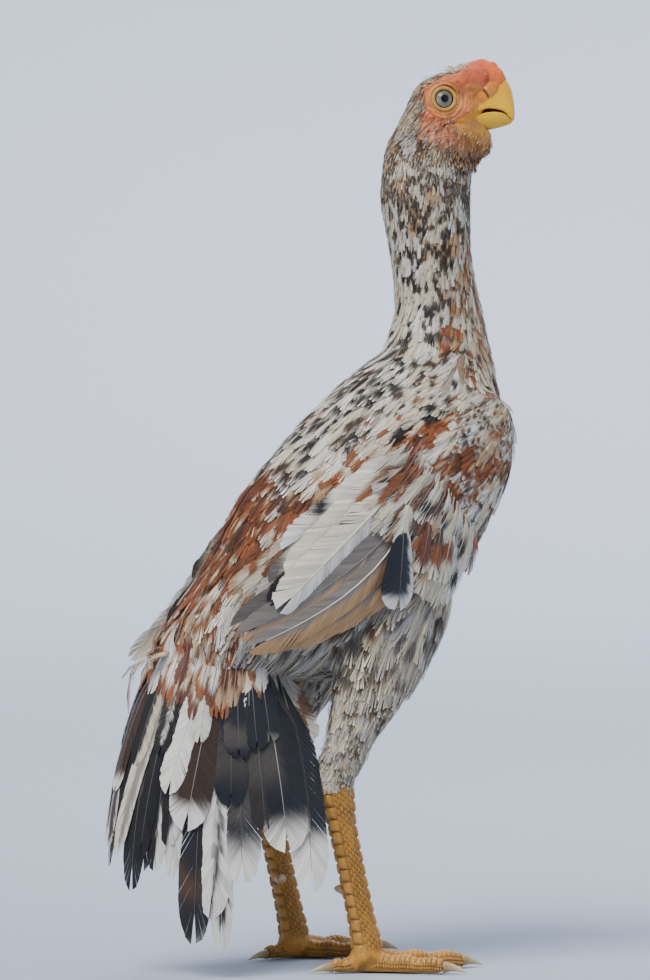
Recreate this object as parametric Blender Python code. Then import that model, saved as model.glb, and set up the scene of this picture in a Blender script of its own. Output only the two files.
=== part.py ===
"""Life-size still model of an aseel rooster, a young stag that stands upright with a drooping tail.

The bird faces +X with its right side at -Y and stands on Z = 0. The origin is on the floor under the
middle of the whole bird. Sizes below are in millimetres and MM turns them into metres. Body, neck and
thighs are closed surfaces through named sections, parted by thin cuts of one gap.
"""

import math

import bmesh
import bpy
import numpy as np

MM = 0.001
GAP = 0.3

# Share of a solid that a cut must leave, or the cut is made again by the other solver
LEAST_LEFT = 0.15

# Place of the bird's own frame in the model, so that the origin is under the middle of its box
SHIFT = np.array([14.6, 0.0, 0.0])

# Head: its own frame starts on the neck's axis and is turned to the bird's right
HEAD_PIVOT = np.array([60.6, 0.0, 3.4])
HEAD_TURN = math.radians(-28.0)

# Head sections from the neck up: height, nape, face, half width, narrowing to the front
HEAD_LEVELS = (
    (434.0, -25.2, 25.5, 24.4, 0.06),
    (441.0, -24.0, 31.0, 21.5, 0.16),
    (448.0, -20.5, 32.0, 18.5, 0.24),
    (455.0, -17.5, 31.0, 17.0, 0.32),
    (462.0, -14.6, 31.0, 16.2, 0.36),
    (469.0, -12.0, 34.0, 15.6, 0.38),
    (475.0, -8.0, 37.5, 14.6, 0.36),
    (480.0, -1.5, 38.0, 12.4, 0.28),
    (483.5, 8.0, 36.0, 8.6, 0.18),
    (485.0, 15.0, 30.0, 4.0, 0.0),
)

# Bill sections in the head's frame: height, back end, front end, half width, narrowing to the front
BILL_TOP_LEVELS = (
    (456.2, 43.0, 44.6, 0.7, 0.0),
    (457.8, 40.6, 46.0, 1.7, 0.1),
    (459.6, 34.0, 46.8, 3.6, 0.3),
    (461.0, 22.0, 47.2, 6.8, 0.4),
    (465.0, 22.0, 47.4, 7.0, 0.42),
    (470.0, 22.0, 46.2, 6.8, 0.42),
    (475.0, 24.0, 43.6, 6.0, 0.36),
    (478.5, 28.0, 40.6, 4.6, 0.2),
    (479.8, 31.0, 38.4, 2.0, 0.0),
)
BILL_LOW_LEVELS = (
    (449.8, 22.0, 40.0, 3.4, 0.3),
    (451.0, 20.0, 42.6, 5.2, 0.38),
    (454.0, 20.0, 43.6, 6.2, 0.42),
    (456.6, 20.0, 42.4, 6.4, 0.42),
    (459.8, 20.0, 33.0, 6.4, 0.4),
)

# Pea comb: three low rows of bulbs, each bulb at a length along the head, a height and a radius
COMB_MIDDLE_ROW = (
    (25.0, 483.8, 3.4),
    (30.6, 485.2, 4.0),
    (36.4, 483.4, 4.0),
    (40.6, 479.0, 3.3),
    (42.2, 474.6, 2.5),
)
COMB_SIDE_ROW = ((28.0, 481.6, 3.2), (34.0, 481.6, 3.4), (39.0, 477.8, 3.0))
COMB_SPREAD = 4.0

# Eye: place on the cheek in the head's frame, direction of gaze, ball and lids
EYE_PLACE = np.array([8.4, 15.7, 466.8])
EYE_GAZE = np.array([0.23, 0.97, 0.03])
EYE_RADIUS = 6.0
EYE_SEAT = 4.2
LID_RADIUS = 5.6
LID_THICK = 1.25

# Face: centre and half sizes of the brow, cheek and ear lobe bulbs, and of the cups cut into it
FACE_BULBS = (
    ((10.5, 13.0, 474.2), (9.5, 3.6, 2.8)),
    ((17.5, 11.2, 460.0), (8.0, 3.4, 4.4)),
    ((-1.5, 14.6, 447.6), (3.6, 3.8, 4.6)),
)
EAR_RIM = ((-5.0, 15.2, 456.6), 3.3, 0.9)
FACE_CUTS = (
    ((-5.0, 16.6, 456.6), (2.3, 3.4, 2.6)),
    ((24.0, 12.2, 457.4), (8.0, 5.0, 0.7)),
)
LID_AROUND = 12
EAR_AROUND = 7
RIM_SIDES = 4
NOSTRIL_FLAP = ((32.8, 5.0, 472.6), (3.6, 1.7, 1.5))
NOSTRIL_CUT = ((32.0, 6.6, 470.4), (2.9, 2.2, 0.85))

# Spine sections: x, z, heading in degrees, half depth to the back, half depth to the belly, half width
NECK_SECTIONS = (
    (60.6, 437.1, -90.0, 25.7, 25.7, 24.4),
    (58.9, 416.0, -90.0, 26.2, 26.2, 24.6),
    (60.6, 399.5, -90.0, 24.6, 24.6, 23.4),
    (62.6, 383.0, -90.0, 23.2, 23.2, 22.4),
    (65.2, 365.5, -90.0, 23.2, 24.2, 22.6),
    (66.5, 351.0, -91.0, 25.0, 27.5, 24.6),
    (65.0, 331.0, -96.0, 31.0, 35.5, 30.5),
)
TORSO_SECTIONS = (
    (65.0, 330.7, -96.0, 31.0, 35.5, 30.5),
    (57.0, 308.0, -108.0, 42.0, 49.0, 43.0),
    (42.0, 280.0, -122.0, 50.0, 66.0, 53.0),
    (20.0, 250.0, -131.0, 55.0, 68.0, 57.0),
    (-10.0, 220.0, -133.0, 53.0, 64.0, 55.0),
    (-36.0, 194.0, -136.0, 44.0, 58.0, 48.0),
    (-58.0, 176.0, -122.0, 36.0, 41.0, 38.0),
    (-74.0, 162.0, -105.0, 35.0, 36.0, 29.0),
)
SPINE_SIDES = 24
SPINE_STEPS = 2

# Thigh sections: height, rear, front, distance from the midplane, half width
THIGH_LEVELS = (
    (228.0, -8.0, 52.0, 31.0, 18.0),
    (205.0, -14.0, 58.0, 34.0, 20.0),
    (185.0, -14.0, 54.0, 36.0, 20.0),
    (165.0, -16.0, 42.0, 37.5, 19.0),
    (145.0, -21.0, 26.0, 39.5, 17.0),
    (125.0, -26.0, 9.0, 41.0, 14.0),
    (112.0, -29.0, -3.0, 42.0, 10.8),
    (103.0, -30.0, -10.0, 42.0, 8.8),
)

# Shank sections from the hock to the ankle, with rows of plates down its front and back
SHANK_LEVELS = (
    (102.7, -29.6, -10.4, 42.0, 8.6),
    (96.0, -29.4, -9.4, 42.0, 9.2),
    (88.0, -26.4, -8.6, 42.0, 8.4),
    (78.0, -22.4, -7.6, 42.0, 6.8),
    (50.0, -15.4, -1.4, 42.0, 6.2),
    (28.0, -10.4, 4.0, 42.0, 6.6),
    (16.0, -8.4, 7.4, 42.0, 7.6),
)
SHANK_SCUTES = 10
SHANK_SIDES = 10
SCUTE_SHARE = 0.9
SCUTE_LIFT = 0.9
SPUR_HEIGHT = 44.0
SPUR_LENGTH = 9.0
SPUR_RADIUS = 3.4
SPUR_START = 3.0
SPUR_AHEAD = np.array([-0.62, -0.78, 0.06])
CONE = ((0.0, 1.0), (0.5, 0.8), (0.85, 0.5), (1.0, 0.2))

# Toes: heading from straight ahead (outward positive), length without claw, end radii, count of plates
FOOT_CENTRE = np.array([0.0, 42.0])
TOES = (
    (4.0, 56.0, 6.6, 4.6, 7),
    (40.0, 42.0, 5.8, 4.2, 5),
    (-34.0, 40.0, 5.8, 4.2, 5),
    (-168.0, 20.0, 5.0, 3.8, 2),
)
TOE_SIDES = 7
TOE_REST = 0.8
TOE_PADS = 0.05
TOE_PAD_TURNS = 6
TOE_END = 0.9
FOOT_BALL = ((-0.5, 0.0, 7.0), (9.4, 9.0, 9.6))
CLAW_LENGTH = 12.0

# Claw sections: place along it, and its radius and height as shares of the toe's end radius
CLAW_STATIONS = ((0.0, 0.72, 1.04), (0.35, 0.5, 0.95), (0.7, 0.29, 0.67), (1.0, 0.1, 0.29))

# Feather blade: place along it, share of its width and of its thickness
BLADE = ((0.0, 0.35, 1.0), (0.3, 0.85, 1.0), (0.84, 0.9, 0.85), (1.0, 0.34, 0.6))
SHORT_BLADE = ((0.0, 0.45, 1.0), (0.42, 0.95, 1.0), (0.8, 0.9, 0.85), (1.0, 0.36, 0.6))
BLADE_MIDDLE = 0.95
BLADE_EDGE = 0.6
BLADE_CLIMB = 0.28

# Wing frame: shoulder point, direction to the tip and direction to the upper edge, in the XZ plane
WING_ORIGIN = np.array([88.0, 303.0])
WING_ALONG = np.array([-0.774, -0.633])
WING_UP = np.array([-0.633, 0.774])

# Distance of the wing's outer face from the midplane at places down the wing, and its fall to the edges
WING_PLACES = (0.0, 10.0, 30.0, 50.0, 70.0, 90.0, 110.0, 130.0, 150.0, 170.0, 190.0, 205.0)
WING_OUT = (50.0, 53.5, 59.5, 62.5, 64.5, 65.0, 64.5, 62.0, 57.5, 52.0, 46.0, 41.5)
WING_FALL_UP = 17.0
WING_FALL_LOW = 5.0

# Arm and its small feathers: distance from the shoulder, lower edge, upper edge, depth below the outer face
WING_CORE = (
    (-1.0, -6.0, 8.0, 2.4),
    (8.0, -19.0, 19.0, 0.8),
    (28.0, -33.0, 29.0, 0.0),
    (60.0, -41.0, 33.0, 0.0),
    (88.0, -40.0, 34.0, 0.8),
    (106.0, -36.0, 33.0, 2.6),
    (120.0, -28.0, 26.0, 4.8),
)

WING_CORE_PLACES = np.linspace(-1.0, 1.0, 8)
WING_CORE_ROUND = 5.0
WING_CORE_DEPTH = 18.0

# Flight feathers from the outermost primary up to the last tertial: root and tip in the wing's frame
FLIGHT_FEATHERS = (
    ((88.0, -33.0), (184.0, -13.0), 7.5),
    ((86.0, -24.5), (197.0, -7.0), 7.5),
    ((84.0, -16.0), (203.0, 1.0), 8.0),
    ((82.0, -7.0), (197.0, 8.0), 8.5),
    ((80.0, 2.0), (180.0, 13.0), 9.5),
    ((78.0, 10.5), (168.0, 19.0), 10.0),
    ((76.0, 18.5), (157.0, 26.0), 10.0),
    ((74.0, 26.5), (143.0, 31.0), 8.0),
)
FLIGHT_SINK = -4.0
FLIGHT_LOW = -1.2
FLIGHT_STEP = 0.55
FLIGHT_TILT = -0.13

# Covert rows: count, root place, lowest and highest root, length, half width, turn below the wing's line
COVERT_ROWS = (
    (5, 66.0, -32.0, 25.0, 48.0, 9.6, (25.0, 4.0), 2.6),
    (4, 38.0, -25.0, 22.0, 42.0, 10.0, (22.0, 3.0), 2.2),
)
COVERT_SINK = -2.0
COVERT_TILT = -0.12

# Long dark covert that hangs across the lower flight feathers
LOOSE_COVERT = ((88.0, 2.0), (131.0, -37.0), 8.0, 5.0)

# Tail: arcs across the root and the tips, as three points (x, y) of a quadratic curve
TAIL_TOP_Z = 170.0
TAIL_LOW_Z = 45.0
TAIL_ROOT_ARC = ((-99.0, 0.3), (-98.0, 30.0), (-42.0, 18.0))
TAIL_TIP_ARC = ((-131.0, 0.3), (-129.0, 26.0), (-38.0, 54.0))
TAIL_FLARE = 2.2
ARC_POINTS = 33
TAIL_SINK = -3.0
TAIL_TILT = 0.08
TAIL_JOINT_X = -109.0
TAIL_JOINT_SLOPE = -0.257
TAIL_JOINT_Z = 171.6

# Tail feathers from the side up to the ridge: share of the arc at the root and at the tip, half width,
# and the height of the tip on the right and on the left
RECTRICES = (
    (0.92, 0.93, 9.5, 46.0, 62.0),
    (0.80, 0.82, 12.5, 66.0, 58.0),
    (0.67, 0.65, 10.0, 51.0, 54.0),
    (0.54, 0.53, 9.0, 20.0, 58.0),
    (0.40, 0.42, 9.5, 24.0, 52.0),
    (0.26, 0.28, 8.0, 56.0, 62.0),
    (0.12, 0.14, 8.5, 50.0, 58.0),
)
TAIL_COVERTS = (
    (0.52, 0.42, 8.5, 80.0, 84.0),
    (0.30, 0.27, 6.4, 96.0, 90.0),
    (0.07, 0.06, 5.6, 68.0, 72.0),
)
RUMP_COVERTS = (
    (0.86, 0.86, 9.0, 126.0, 127.0),
    (0.61, 0.61, 9.5, 127.0, 125.0),
    (0.35, 0.36, 9.0, 122.0, 124.0),
    (0.10, 0.10, 7.0, 125.0, 122.0),
)
VENT_COVERTS = ((0.98, 0.99, 9.0, 110.0, 112.0),)
TAIL_FEATHER_SETS = (
    (VENT_COVERTS, -2.6, 0.3),
    (RECTRICES, -1.0, 0.5),
    (TAIL_COVERTS, 3.0, 0.4),
    (RUMP_COVERTS, 3.8, 0.3),
)
TAIL_ROOT_DROP = 3.0

# Fleshy root of the tail: height above the joint and share of the width there
TAIL_CORE_PLACES = np.linspace(0.0, 1.0, 9)
TAIL_CORE_OUT = -1.0
TAIL_CORE = ((8.0, 1.0), (-4.0, 1.0), (-14.0, 0.9), (-24.0, 0.62), (-32.0, 0.3))

SHARP_ANGLE = math.radians(50.0)

FEATHER = (0.62, 0.5, 0.42)
SKIN = (0.78, 0.30, 0.20)
HORN = (0.83, 0.60, 0.16)
SCALE = (0.72, 0.42, 0.10)
BLACK = (0.03, 0.03, 0.035)


def material(name, colour, roughness):
    """Principled material of one colour."""
    made = bpy.data.materials.new(name)
    made.use_nodes = True
    shader = made.node_tree.nodes["Principled BSDF"]
    shader.inputs["Base Color"].default_value = (*colour, 1.0)
    shader.inputs["Roughness"].default_value = roughness
    shader.inputs["Metallic"].default_value = 0.0
    made.diffuse_color = (*colour, 1.0)
    return made


def solid(name, points, faces):
    """Closed triangle mesh from points in millimetres, with its faces turned outward."""
    mesh = bpy.data.meshes.new(name)
    placed = (np.asarray(points, dtype=float) + SHIFT) * MM
    mesh.from_pydata([tuple(p) for p in placed], [], faces)
    made = bpy.data.objects.new(name, mesh)
    bpy.context.scene.collection.objects.link(made)
    edit = bmesh.new()
    edit.from_mesh(mesh)
    bmesh.ops.recalc_face_normals(edit, faces=edit.faces)
    bmesh.ops.triangulate(edit, faces=edit.faces, quad_method="SHORT_EDGE", ngon_method="BEAUTY")
    edit.to_mesh(mesh)
    edit.free()
    return made


def loft(rings):
    """Points and faces of a closed skin through rings of equal size, with flat ends."""
    count = len(rings[0])
    points = np.concatenate(rings)
    faces = []
    for row in range(len(rings) - 1):
        first = row * count
        for k in range(count):
            after = (k + 1) % count
            faces.append((first + k, first + after, first + count + after, first + count + k))
    last = (len(rings) - 1) * count
    faces.append(tuple(reversed(range(count))))
    faces.append(tuple(range(last, last + count)))
    return points, faces


def smooth_rows(rows, steps):
    """Rows of numbers with steps smooth intervals between each two of them."""
    rows = np.asarray(rows, dtype=float)
    padded = np.vstack([2 * rows[0] - rows[1], rows, 2 * rows[-1] - rows[-2]])
    out = []
    for i in range(1, len(padded) - 2):
        before, here, there, beyond = padded[i - 1 : i + 3]
        for k in range(steps):
            t = k / steps
            out.append(
                here
                + 0.5 * t * (there - before)
                + t * t * (before - 2.5 * here + 2 * there - 0.5 * beyond)
                + t**3 * (1.5 * (here - there) + 0.5 * (beyond - before))
            )
    out.append(rows[-1])
    return out


def spine_ring(section, sides):
    """Oval ring across the spine, from the back round the left side."""
    x, z, heading, back, belly, half_width = section
    heading = math.radians(heading)
    dorsal = np.array([math.sin(heading), 0.0, -math.cos(heading)])
    ring = []
    for k in range(sides):
        turn = 2 * math.pi * k / sides
        depth = back if math.cos(turn) > 0 else belly
        across = np.array([0.0, half_width * math.sin(turn), 0.0])
        ring.append(np.array([x, 0.0, z]) + dorsal * depth * math.cos(turn) + across)
    return np.array(ring)


def oval_level(z, rear, front, half_width, narrowing, sides):
    """Level ring that is egg-shaped along X and narrower at the front."""
    centre = 0.5 * (rear + front)
    reach = 0.5 * (front - rear)
    ring = []
    for k in range(sides):
        turn = 2 * math.pi * k / sides
        along = math.cos(turn)
        width = half_width * (1.0 - narrowing * along)
        ring.append((centre + reach * along, width * math.sin(turn), z))
    return np.array(ring)


def in_head(points):
    """Points of the head's own frame in the bird's frame."""
    points = np.asarray(points, dtype=float)
    cos, sin = math.cos(HEAD_TURN), math.sin(HEAD_TURN)
    turned = np.empty_like(points)
    turned[:, 0] = points[:, 0] * cos - points[:, 1] * sin
    turned[:, 1] = points[:, 0] * sin + points[:, 1] * cos
    turned[:, 2] = points[:, 2]
    return turned + HEAD_PIVOT


def head_stack(name, levels, steps, sides):
    """Closed solid through level rings in the head's frame."""
    rings = [oval_level(*row, sides) for row in smooth_rows(levels, steps)]
    points, faces = loft(rings)
    return solid(name, in_head(points), faces)


def leg_stack(name, levels, side, steps, sides):
    """Closed solid through level ovals beside the midplane."""
    rings = []
    for z, rear, front, out, half_width in smooth_rows(levels, steps):
        ring = oval_level(z, rear, front, half_width, 0.0, sides)
        ring[:, 1] += side * out
        rings.append(ring)
    return solid(name, *loft(rings))


def ball(centre, radii, rows, sides):
    """Closed ellipsoid with level rings."""
    rings = []
    for row in range(1, rows):
        turn = math.pi * row / rows
        ring = oval_level(0.0, -1.0, 1.0, 1.0, 0.0, sides) * math.sin(turn)
        ring[:, 2] = math.cos(turn)
        rings.append(ring * np.asarray(radii) + np.asarray(centre))
    return loft(rings)


def grown(source, distance):
    """Copy of a solid whose surface is moved outward, used as a cutter."""
    cutter = source.copy()
    cutter.data = source.data.copy()
    bpy.context.scene.collection.objects.link(cutter)
    cutter.hide_render = True
    cutter.display_type = "WIRE"
    edit = bmesh.new()
    edit.from_mesh(cutter.data)
    edit.normal_update()
    moves = [v.normal * (distance * MM * max(1.0, v.calc_shell_factor())) for v in edit.verts]
    for vertex, move in zip(edit.verts, moves):
        vertex.co += move
    edit.to_mesh(cutter.data)
    edit.free()
    return cutter


def keep_largest(made):
    """Leaves only the largest closed surface of a mesh, in clean triangles."""
    edit = bmesh.new()
    edit.from_mesh(made.data)
    bmesh.ops.remove_doubles(edit, verts=edit.verts, dist=1e-6)
    bmesh.ops.dissolve_degenerate(edit, edges=edit.edges, dist=1e-6)
    bmesh.ops.triangulate(edit, faces=edit.faces, quad_method="SHORT_EDGE", ngon_method="BEAUTY")
    seen = set()
    islands = []
    for face in edit.faces:
        if face in seen:
            continue
        seen.add(face)
        island = [face]
        for member in island:
            for edge in member.edges:
                for other in edge.link_faces:
                    if other not in seen:
                        seen.add(other)
                        island.append(other)
        islands.append(island)
    islands.sort(key=lambda island: -sum(f.calc_area() for f in island))
    spare = [face for island in islands[1:] for face in island]
    bmesh.ops.delete(edit, geom=spare, context="FACES")
    edit.to_mesh(made.data)
    edit.free()


def volume(mesh):
    """Volume inside a closed mesh, or zero for an open one."""
    edit = bmesh.new()
    edit.from_mesh(mesh)
    closed = len(edit.faces) > 0 and all(len(edge.link_faces) == 2 for edge in edit.edges)
    inside = edit.calc_volume() if closed else 0.0
    edit.free()
    return inside


def apply_boolean(made, operation, others):
    """One Boolean of a solid with a collection of closed meshes, which it then removes."""
    group = bpy.data.collections.new("tools")
    for other in others:
        group.objects.link(other)
    change = made.modifiers.new(operation, "BOOLEAN")
    change.operation = operation
    change.operand_type = "COLLECTION"
    change.collection = group
    least = volume(made.data) * (1.0 if operation == "UNION" else LEAST_LEFT)
    for solver in ("EXACT", "MANIFOLD"):
        change.solver = solver
        view = bpy.context.evaluated_depsgraph_get()
        view.update()
        mesh = bpy.data.meshes.new_from_object(made.evaluated_get(view))
        if volume(mesh) >= least:
            break
    made.modifiers.clear()
    made.data = mesh
    for other in list(group.objects):
        bpy.data.objects.remove(other)
    bpy.data.collections.remove(group)
    keep_largest(made)
    return made


def carve(made, neighbours):
    """Cuts a solid clear of its neighbours by one gap."""
    for neighbour in neighbours:
        apply_boolean(made, "DIFFERENCE", [grown(neighbour, GAP)])
    return made


def build_spine():
    """Neck and torso, which meet at one level cut."""
    neck = [spine_ring(row, SPINE_SIDES) for row in smooth_rows(NECK_SECTIONS, SPINE_STEPS)]
    torso = [spine_ring(row, SPINE_SIDES) for row in smooth_rows(TORSO_SECTIONS, SPINE_STEPS)]
    return solid("neck", *loft(neck)), solid("torso", *loft(torso))


def mirrored(place, side):
    """Place of the left side, or its mirror image on the right."""
    return np.asarray(place) * [1.0, side, 1.0]


def head_ball(centre, radii, rows, sides):
    """Closed ellipsoid given in the head's frame."""
    points, faces = ball(centre, radii, rows, sides)
    return solid("bulb", in_head(points), faces)


def head_ring(centre, axis, radius, thick, around):
    """Closed torus given in the head's frame."""
    axis = axis / np.linalg.norm(axis)
    level = np.cross([0.0, 0.0, 1.0], axis)
    level /= np.linalg.norm(level)
    upright = np.cross(axis, level)
    points = []
    faces = []
    for i in range(around):
        turn = 2 * math.pi * i / around
        spoke = level * math.cos(turn) + upright * math.sin(turn)
        for k in range(RIM_SIDES):
            roll = 2 * math.pi * k / RIM_SIDES
            reach = radius + thick * math.cos(roll)
            points.append(centre + spoke * reach + axis * thick * math.sin(roll))
            here = i * RIM_SIDES
            beyond = (i + 1) % around * RIM_SIDES
            after = (k + 1) % RIM_SIDES
            faces.append((here + k, here + after, beyond + after, beyond + k))
    return solid("ring", in_head(points), faces)


def build_eye(side, label):
    """Eyeball set into the cheek."""
    gaze = mirrored(EYE_GAZE / np.linalg.norm(EYE_GAZE), side)
    centre = mirrored(EYE_PLACE, side) - gaze * EYE_SEAT
    points, faces = ball(centre, [EYE_RADIUS] * 3, 8, 14)
    return solid("eye_" + label, in_head(points), faces)


def build_comb(neighbours):
    """Pea comb of three rows of bulbs on the forehead."""
    places = [(along, 0.0, z, radius) for along, z, radius in COMB_MIDDLE_ROW]
    for side in (-1, 1):
        places += [(along, side * COMB_SPREAD, z, radius) for along, z, radius in COMB_SIDE_ROW]
    bulbs = [head_ball((x, y, z), (radius * 1.1, radius, radius), 4, 6) for x, y, z, radius in places]
    comb = bulbs.pop(1)
    comb.name = "comb"
    apply_boolean(comb, "UNION", bulbs)
    return carve(comb, neighbours)


def build_head():
    """Head with lids, ears and mouth line, its eyes, bill and comb."""
    head = head_stack("head", HEAD_LEVELS, 2, 18)
    eyes = []
    raised = []
    hollows = []
    for side, label in ((-1, "R"), (1, "L")):
        eyes.append(build_eye(side, label))
        raised += [head_ball(mirrored(place, side), radii, 5, 8) for place, radii in FACE_BULBS]
        gaze = mirrored(EYE_GAZE, side)
        raised.append(head_ring(mirrored(EYE_PLACE, side), gaze, LID_RADIUS, LID_THICK, LID_AROUND))
        ear, ear_radius, ear_thick = EAR_RIM
        raised.append(head_ring(mirrored(ear, side), gaze, ear_radius, ear_thick, EAR_AROUND))
        hollows += [head_ball(mirrored(place, side), radii, 4, 8) for place, radii in FACE_CUTS]
    apply_boolean(head, "UNION", raised)
    apply_boolean(head, "DIFFERENCE", hollows)
    carve(head, eyes)
    upper = head_stack("beak_upper", BILL_TOP_LEVELS, 1, 14)
    flaps = [head_ball(mirrored(NOSTRIL_FLAP[0], side), NOSTRIL_FLAP[1], 4, 7) for side in (-1, 1)]
    slits = [head_ball(mirrored(NOSTRIL_CUT[0], side), NOSTRIL_CUT[1], 4, 7) for side in (-1, 1)]
    apply_boolean(upper, "UNION", flaps)
    apply_boolean(upper, "DIFFERENCE", slits)
    lower = head_stack("beak_lower", BILL_LOW_LEVELS, 1, 14)
    carve(upper, [head])
    carve(lower, [head, upper])
    comb = build_comb([head, upper])
    return [head, *eyes, upper, lower, comb]


def build_leg(side, label, torso):
    """Feathered thigh, scaled shank, foot and claws of one side."""
    thigh = leg_stack("thigh_" + label, THIGH_LEVELS, side, 2, 16)
    carve(thigh, [torso])
    shank = build_shank(side, label)
    return [thigh, shank, *build_foot(side, label, shank)]


def row_at(rows, place):
    """Row of numbers at a place between rows sorted by their falling first number."""
    rows = np.array(rows)[::-1]
    return [float(np.interp(place, rows[:, 0], rows[:, k])) for k in range(1, rows.shape[1])]


def build_shank(side, label):
    """Shank with overlapping plates down its front and back, and the bud of a spur."""
    rows = smooth_rows(SHANK_LEVELS, 4)
    top = SHANK_LEVELS[0][0]
    bottom = SHANK_LEVELS[-1][0]
    step = (top - bottom) / SHANK_SCUTES
    rings = []
    for scute in range(SHANK_SCUTES):
        for z, lift in ((top - step * scute, 0.0), (top - step * (scute + SCUTE_SHARE), SCUTE_LIFT)):
            rear, front, out, half_width = row_at(rows, z)
            ring = oval_level(z, rear, front, half_width, 0.0, SHANK_SIDES)
            along = (ring[:, 0] - 0.5 * (rear + front)) / (0.5 * (front - rear))
            ring[:, 0] += lift * np.where(along > 0.0, along, 0.5 * along)
            ring[:, 1] += side * out + lift * 0.4 * np.clip(along, 0.0, 1.0) * np.sign(ring[:, 1])
            rings.append(ring)
    shank = solid("shank_" + label, *loft(rings))
    rear, front, out, half_width = row_at(rows, SPUR_HEIGHT)
    base = np.array([0.5 * (rear + front), side * out, SPUR_HEIGHT])
    ahead = mirrored(SPUR_AHEAD, side)
    spur = cone("spur", base + ahead * SPUR_START, ahead, SPUR_LENGTH, SPUR_RADIUS)
    return apply_boolean(shank, "UNION", [spur])


def cone(name, start, ahead, length, radius):
    """Blunt cone along a direction."""
    ahead = ahead / np.linalg.norm(ahead)
    across = np.cross(ahead, [0.0, 0.0, 1.0])
    across /= np.linalg.norm(across)
    upright = np.cross(across, ahead)
    rings = []
    for part, share in CONE:
        ring = []
        for k in range(TOE_SIDES):
            turn = 2 * math.pi * k / TOE_SIDES
            spoke = across * math.cos(turn) + upright * math.sin(turn)
            ring.append(start + ahead * length * part + spoke * radius * share)
        rings.append(np.array(ring))
    return solid(name, *loft(rings))


def toe_ring(centre, heading, radius, lift):
    """Upright ring across a toe, with the upper side raised by the lift of a plate."""
    across = np.array([-math.sin(heading), math.cos(heading), 0.0])
    up = np.array([0.0, 0.0, 1.0])
    ring = []
    for k in range(TOE_SIDES):
        turn = 2 * math.pi * (k + 0.5) / TOE_SIDES
        rise = lift * max(0.0, math.sin(turn))
        reach = radius + rise
        ring.append(centre + across * reach * math.cos(turn) + up * reach * math.sin(turn))
    return np.array(ring)


def build_toe(root, heading, length, thick, thin, scutes):
    """Toe with a row of overlapping plates along its upper side."""
    ahead = np.array([math.cos(heading), math.sin(heading), 0.0])
    rings = []
    for scute in range(scutes):
        for share, lift in ((scute / scutes, 0.0), ((scute + SCUTE_SHARE) / scutes, SCUTE_LIFT)):
            pads = 1.0 - TOE_PADS * math.cos(TOE_PAD_TURNS * math.pi * share)
            radius = (thick + (thin - thick) * share) * pads
            centre = root + ahead * length * share + np.array([0.0, 0.0, radius * TOE_REST])
            rings.append(toe_ring(centre, heading, radius, lift))
    end = root + ahead * length + np.array([0.0, 0.0, thin * TOE_REST])
    rings.append(toe_ring(end, heading, thin * TOE_END, 0.0))
    return solid("toe", *loft(rings))


def floor_block():
    """Cutter that fills all below the floor near the feet."""
    reach = np.array([120.0, 120.0, 20.0])
    corners = []
    for x in (-1, 1):
        for y in (-1, 1):
            for z in (-1, 1):
                corners.append(np.array([x, y, z]) * reach - [0.0, 0.0, reach[2]])
    faces = [(0, 1, 3, 2), (4, 6, 7, 5), (0, 4, 5, 1), (2, 3, 7, 6), (0, 2, 6, 4), (1, 5, 7, 3)]
    return solid("floor", corners, faces)


def build_foot(side, label, shank):
    """Four toes joined under the ankle, flat at floor level, and a claw at the end of each."""
    root = np.array([FOOT_CENTRE[0], side * FOOT_CENTRE[1], 0.0])
    points, faces = ball(root + FOOT_BALL[0], FOOT_BALL[1], 6, 12)
    foot = solid("foot_" + label, points, faces)
    toes = []
    claws = []
    for number, (turn, length, thick, thin, scutes) in enumerate(TOES, 1):
        heading = math.radians(turn) * side
        ahead = np.array([math.cos(heading), math.sin(heading), 0.0])
        toes.append(build_toe(root, heading, length, thick, thin, scutes))
        claws.append(build_claw(label, number, root + ahead * (length + GAP), heading, thin))
    apply_boolean(foot, "UNION", toes)
    apply_boolean(foot, "DIFFERENCE", [floor_block()])
    carve(foot, [shank])
    return [foot, *claws]


def build_claw(label, number, start, heading, radius):
    """Curved horn claw that starts face to face with its toe."""
    ahead = np.array([math.cos(heading), math.sin(heading), 0.0])
    rings = []
    for share, size, height in CLAW_STATIONS:
        centre = start + ahead * CLAW_LENGTH * share + np.array([0.0, 0.0, height * radius])
        rings.append(toe_ring(centre, heading, size * radius, 0.0))
    return solid("claw_%s_%d" % (label, number), *loft(rings))


def blade(sheet, stations):
    """Closed thin blade laid in a sheet, with both faces split alike.

    A station is its place along the sheet and across it, half width, distance out, tilt and thickness.
    """
    points = []
    for along, across, half, out, tilt, thick in stations:
        for shift, share in ((-half, BLADE_EDGE), (0.0, BLADE_MIDDLE), (half, BLADE_EDGE)):
            level = out + tilt * shift
            points.append(sheet(along, across + shift, level + 0.5 * thick * share))
            points.append(sheet(along, across + shift, level - 0.5 * thick * share))
    faces = []
    for row in range(len(stations) - 1):
        a = 6 * row
        b = a + 6
        for k in (0, 2):
            faces += [(a + k, a + k + 2, b + k + 2), (a + k, b + k + 2, b + k)]
            faces += [(a + k + 1, b + k + 3, a + k + 3), (a + k + 1, b + k + 1, b + k + 3)]
        faces += [(a, b, b + 1), (a, b + 1, a + 1)]
        faces += [(a + 4, b + 5, b + 4), (a + 4, a + 5, b + 5)]
    last = 6 * (len(stations) - 1)
    for a in (0, last):
        faces += [(a, a + 1, a + 3), (a, a + 3, a + 2), (a + 2, a + 3, a + 5), (a + 2, a + 5, a + 4)]
    return solid("blade", points, faces)


def feather(sheet, path, shape, half, sink, out, tilt):
    """Blade of one shape along a path, with its root sunk and its far part lifted clear."""
    stations = []
    for share, wide, thick in shape:
        along, across = path(share)
        climb = min(1.0, share / BLADE_CLIMB)
        stations.append((along, across, half * wide, sink + (out - sink) * climb, tilt, thick))
    return blade(sheet, stations)


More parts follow.
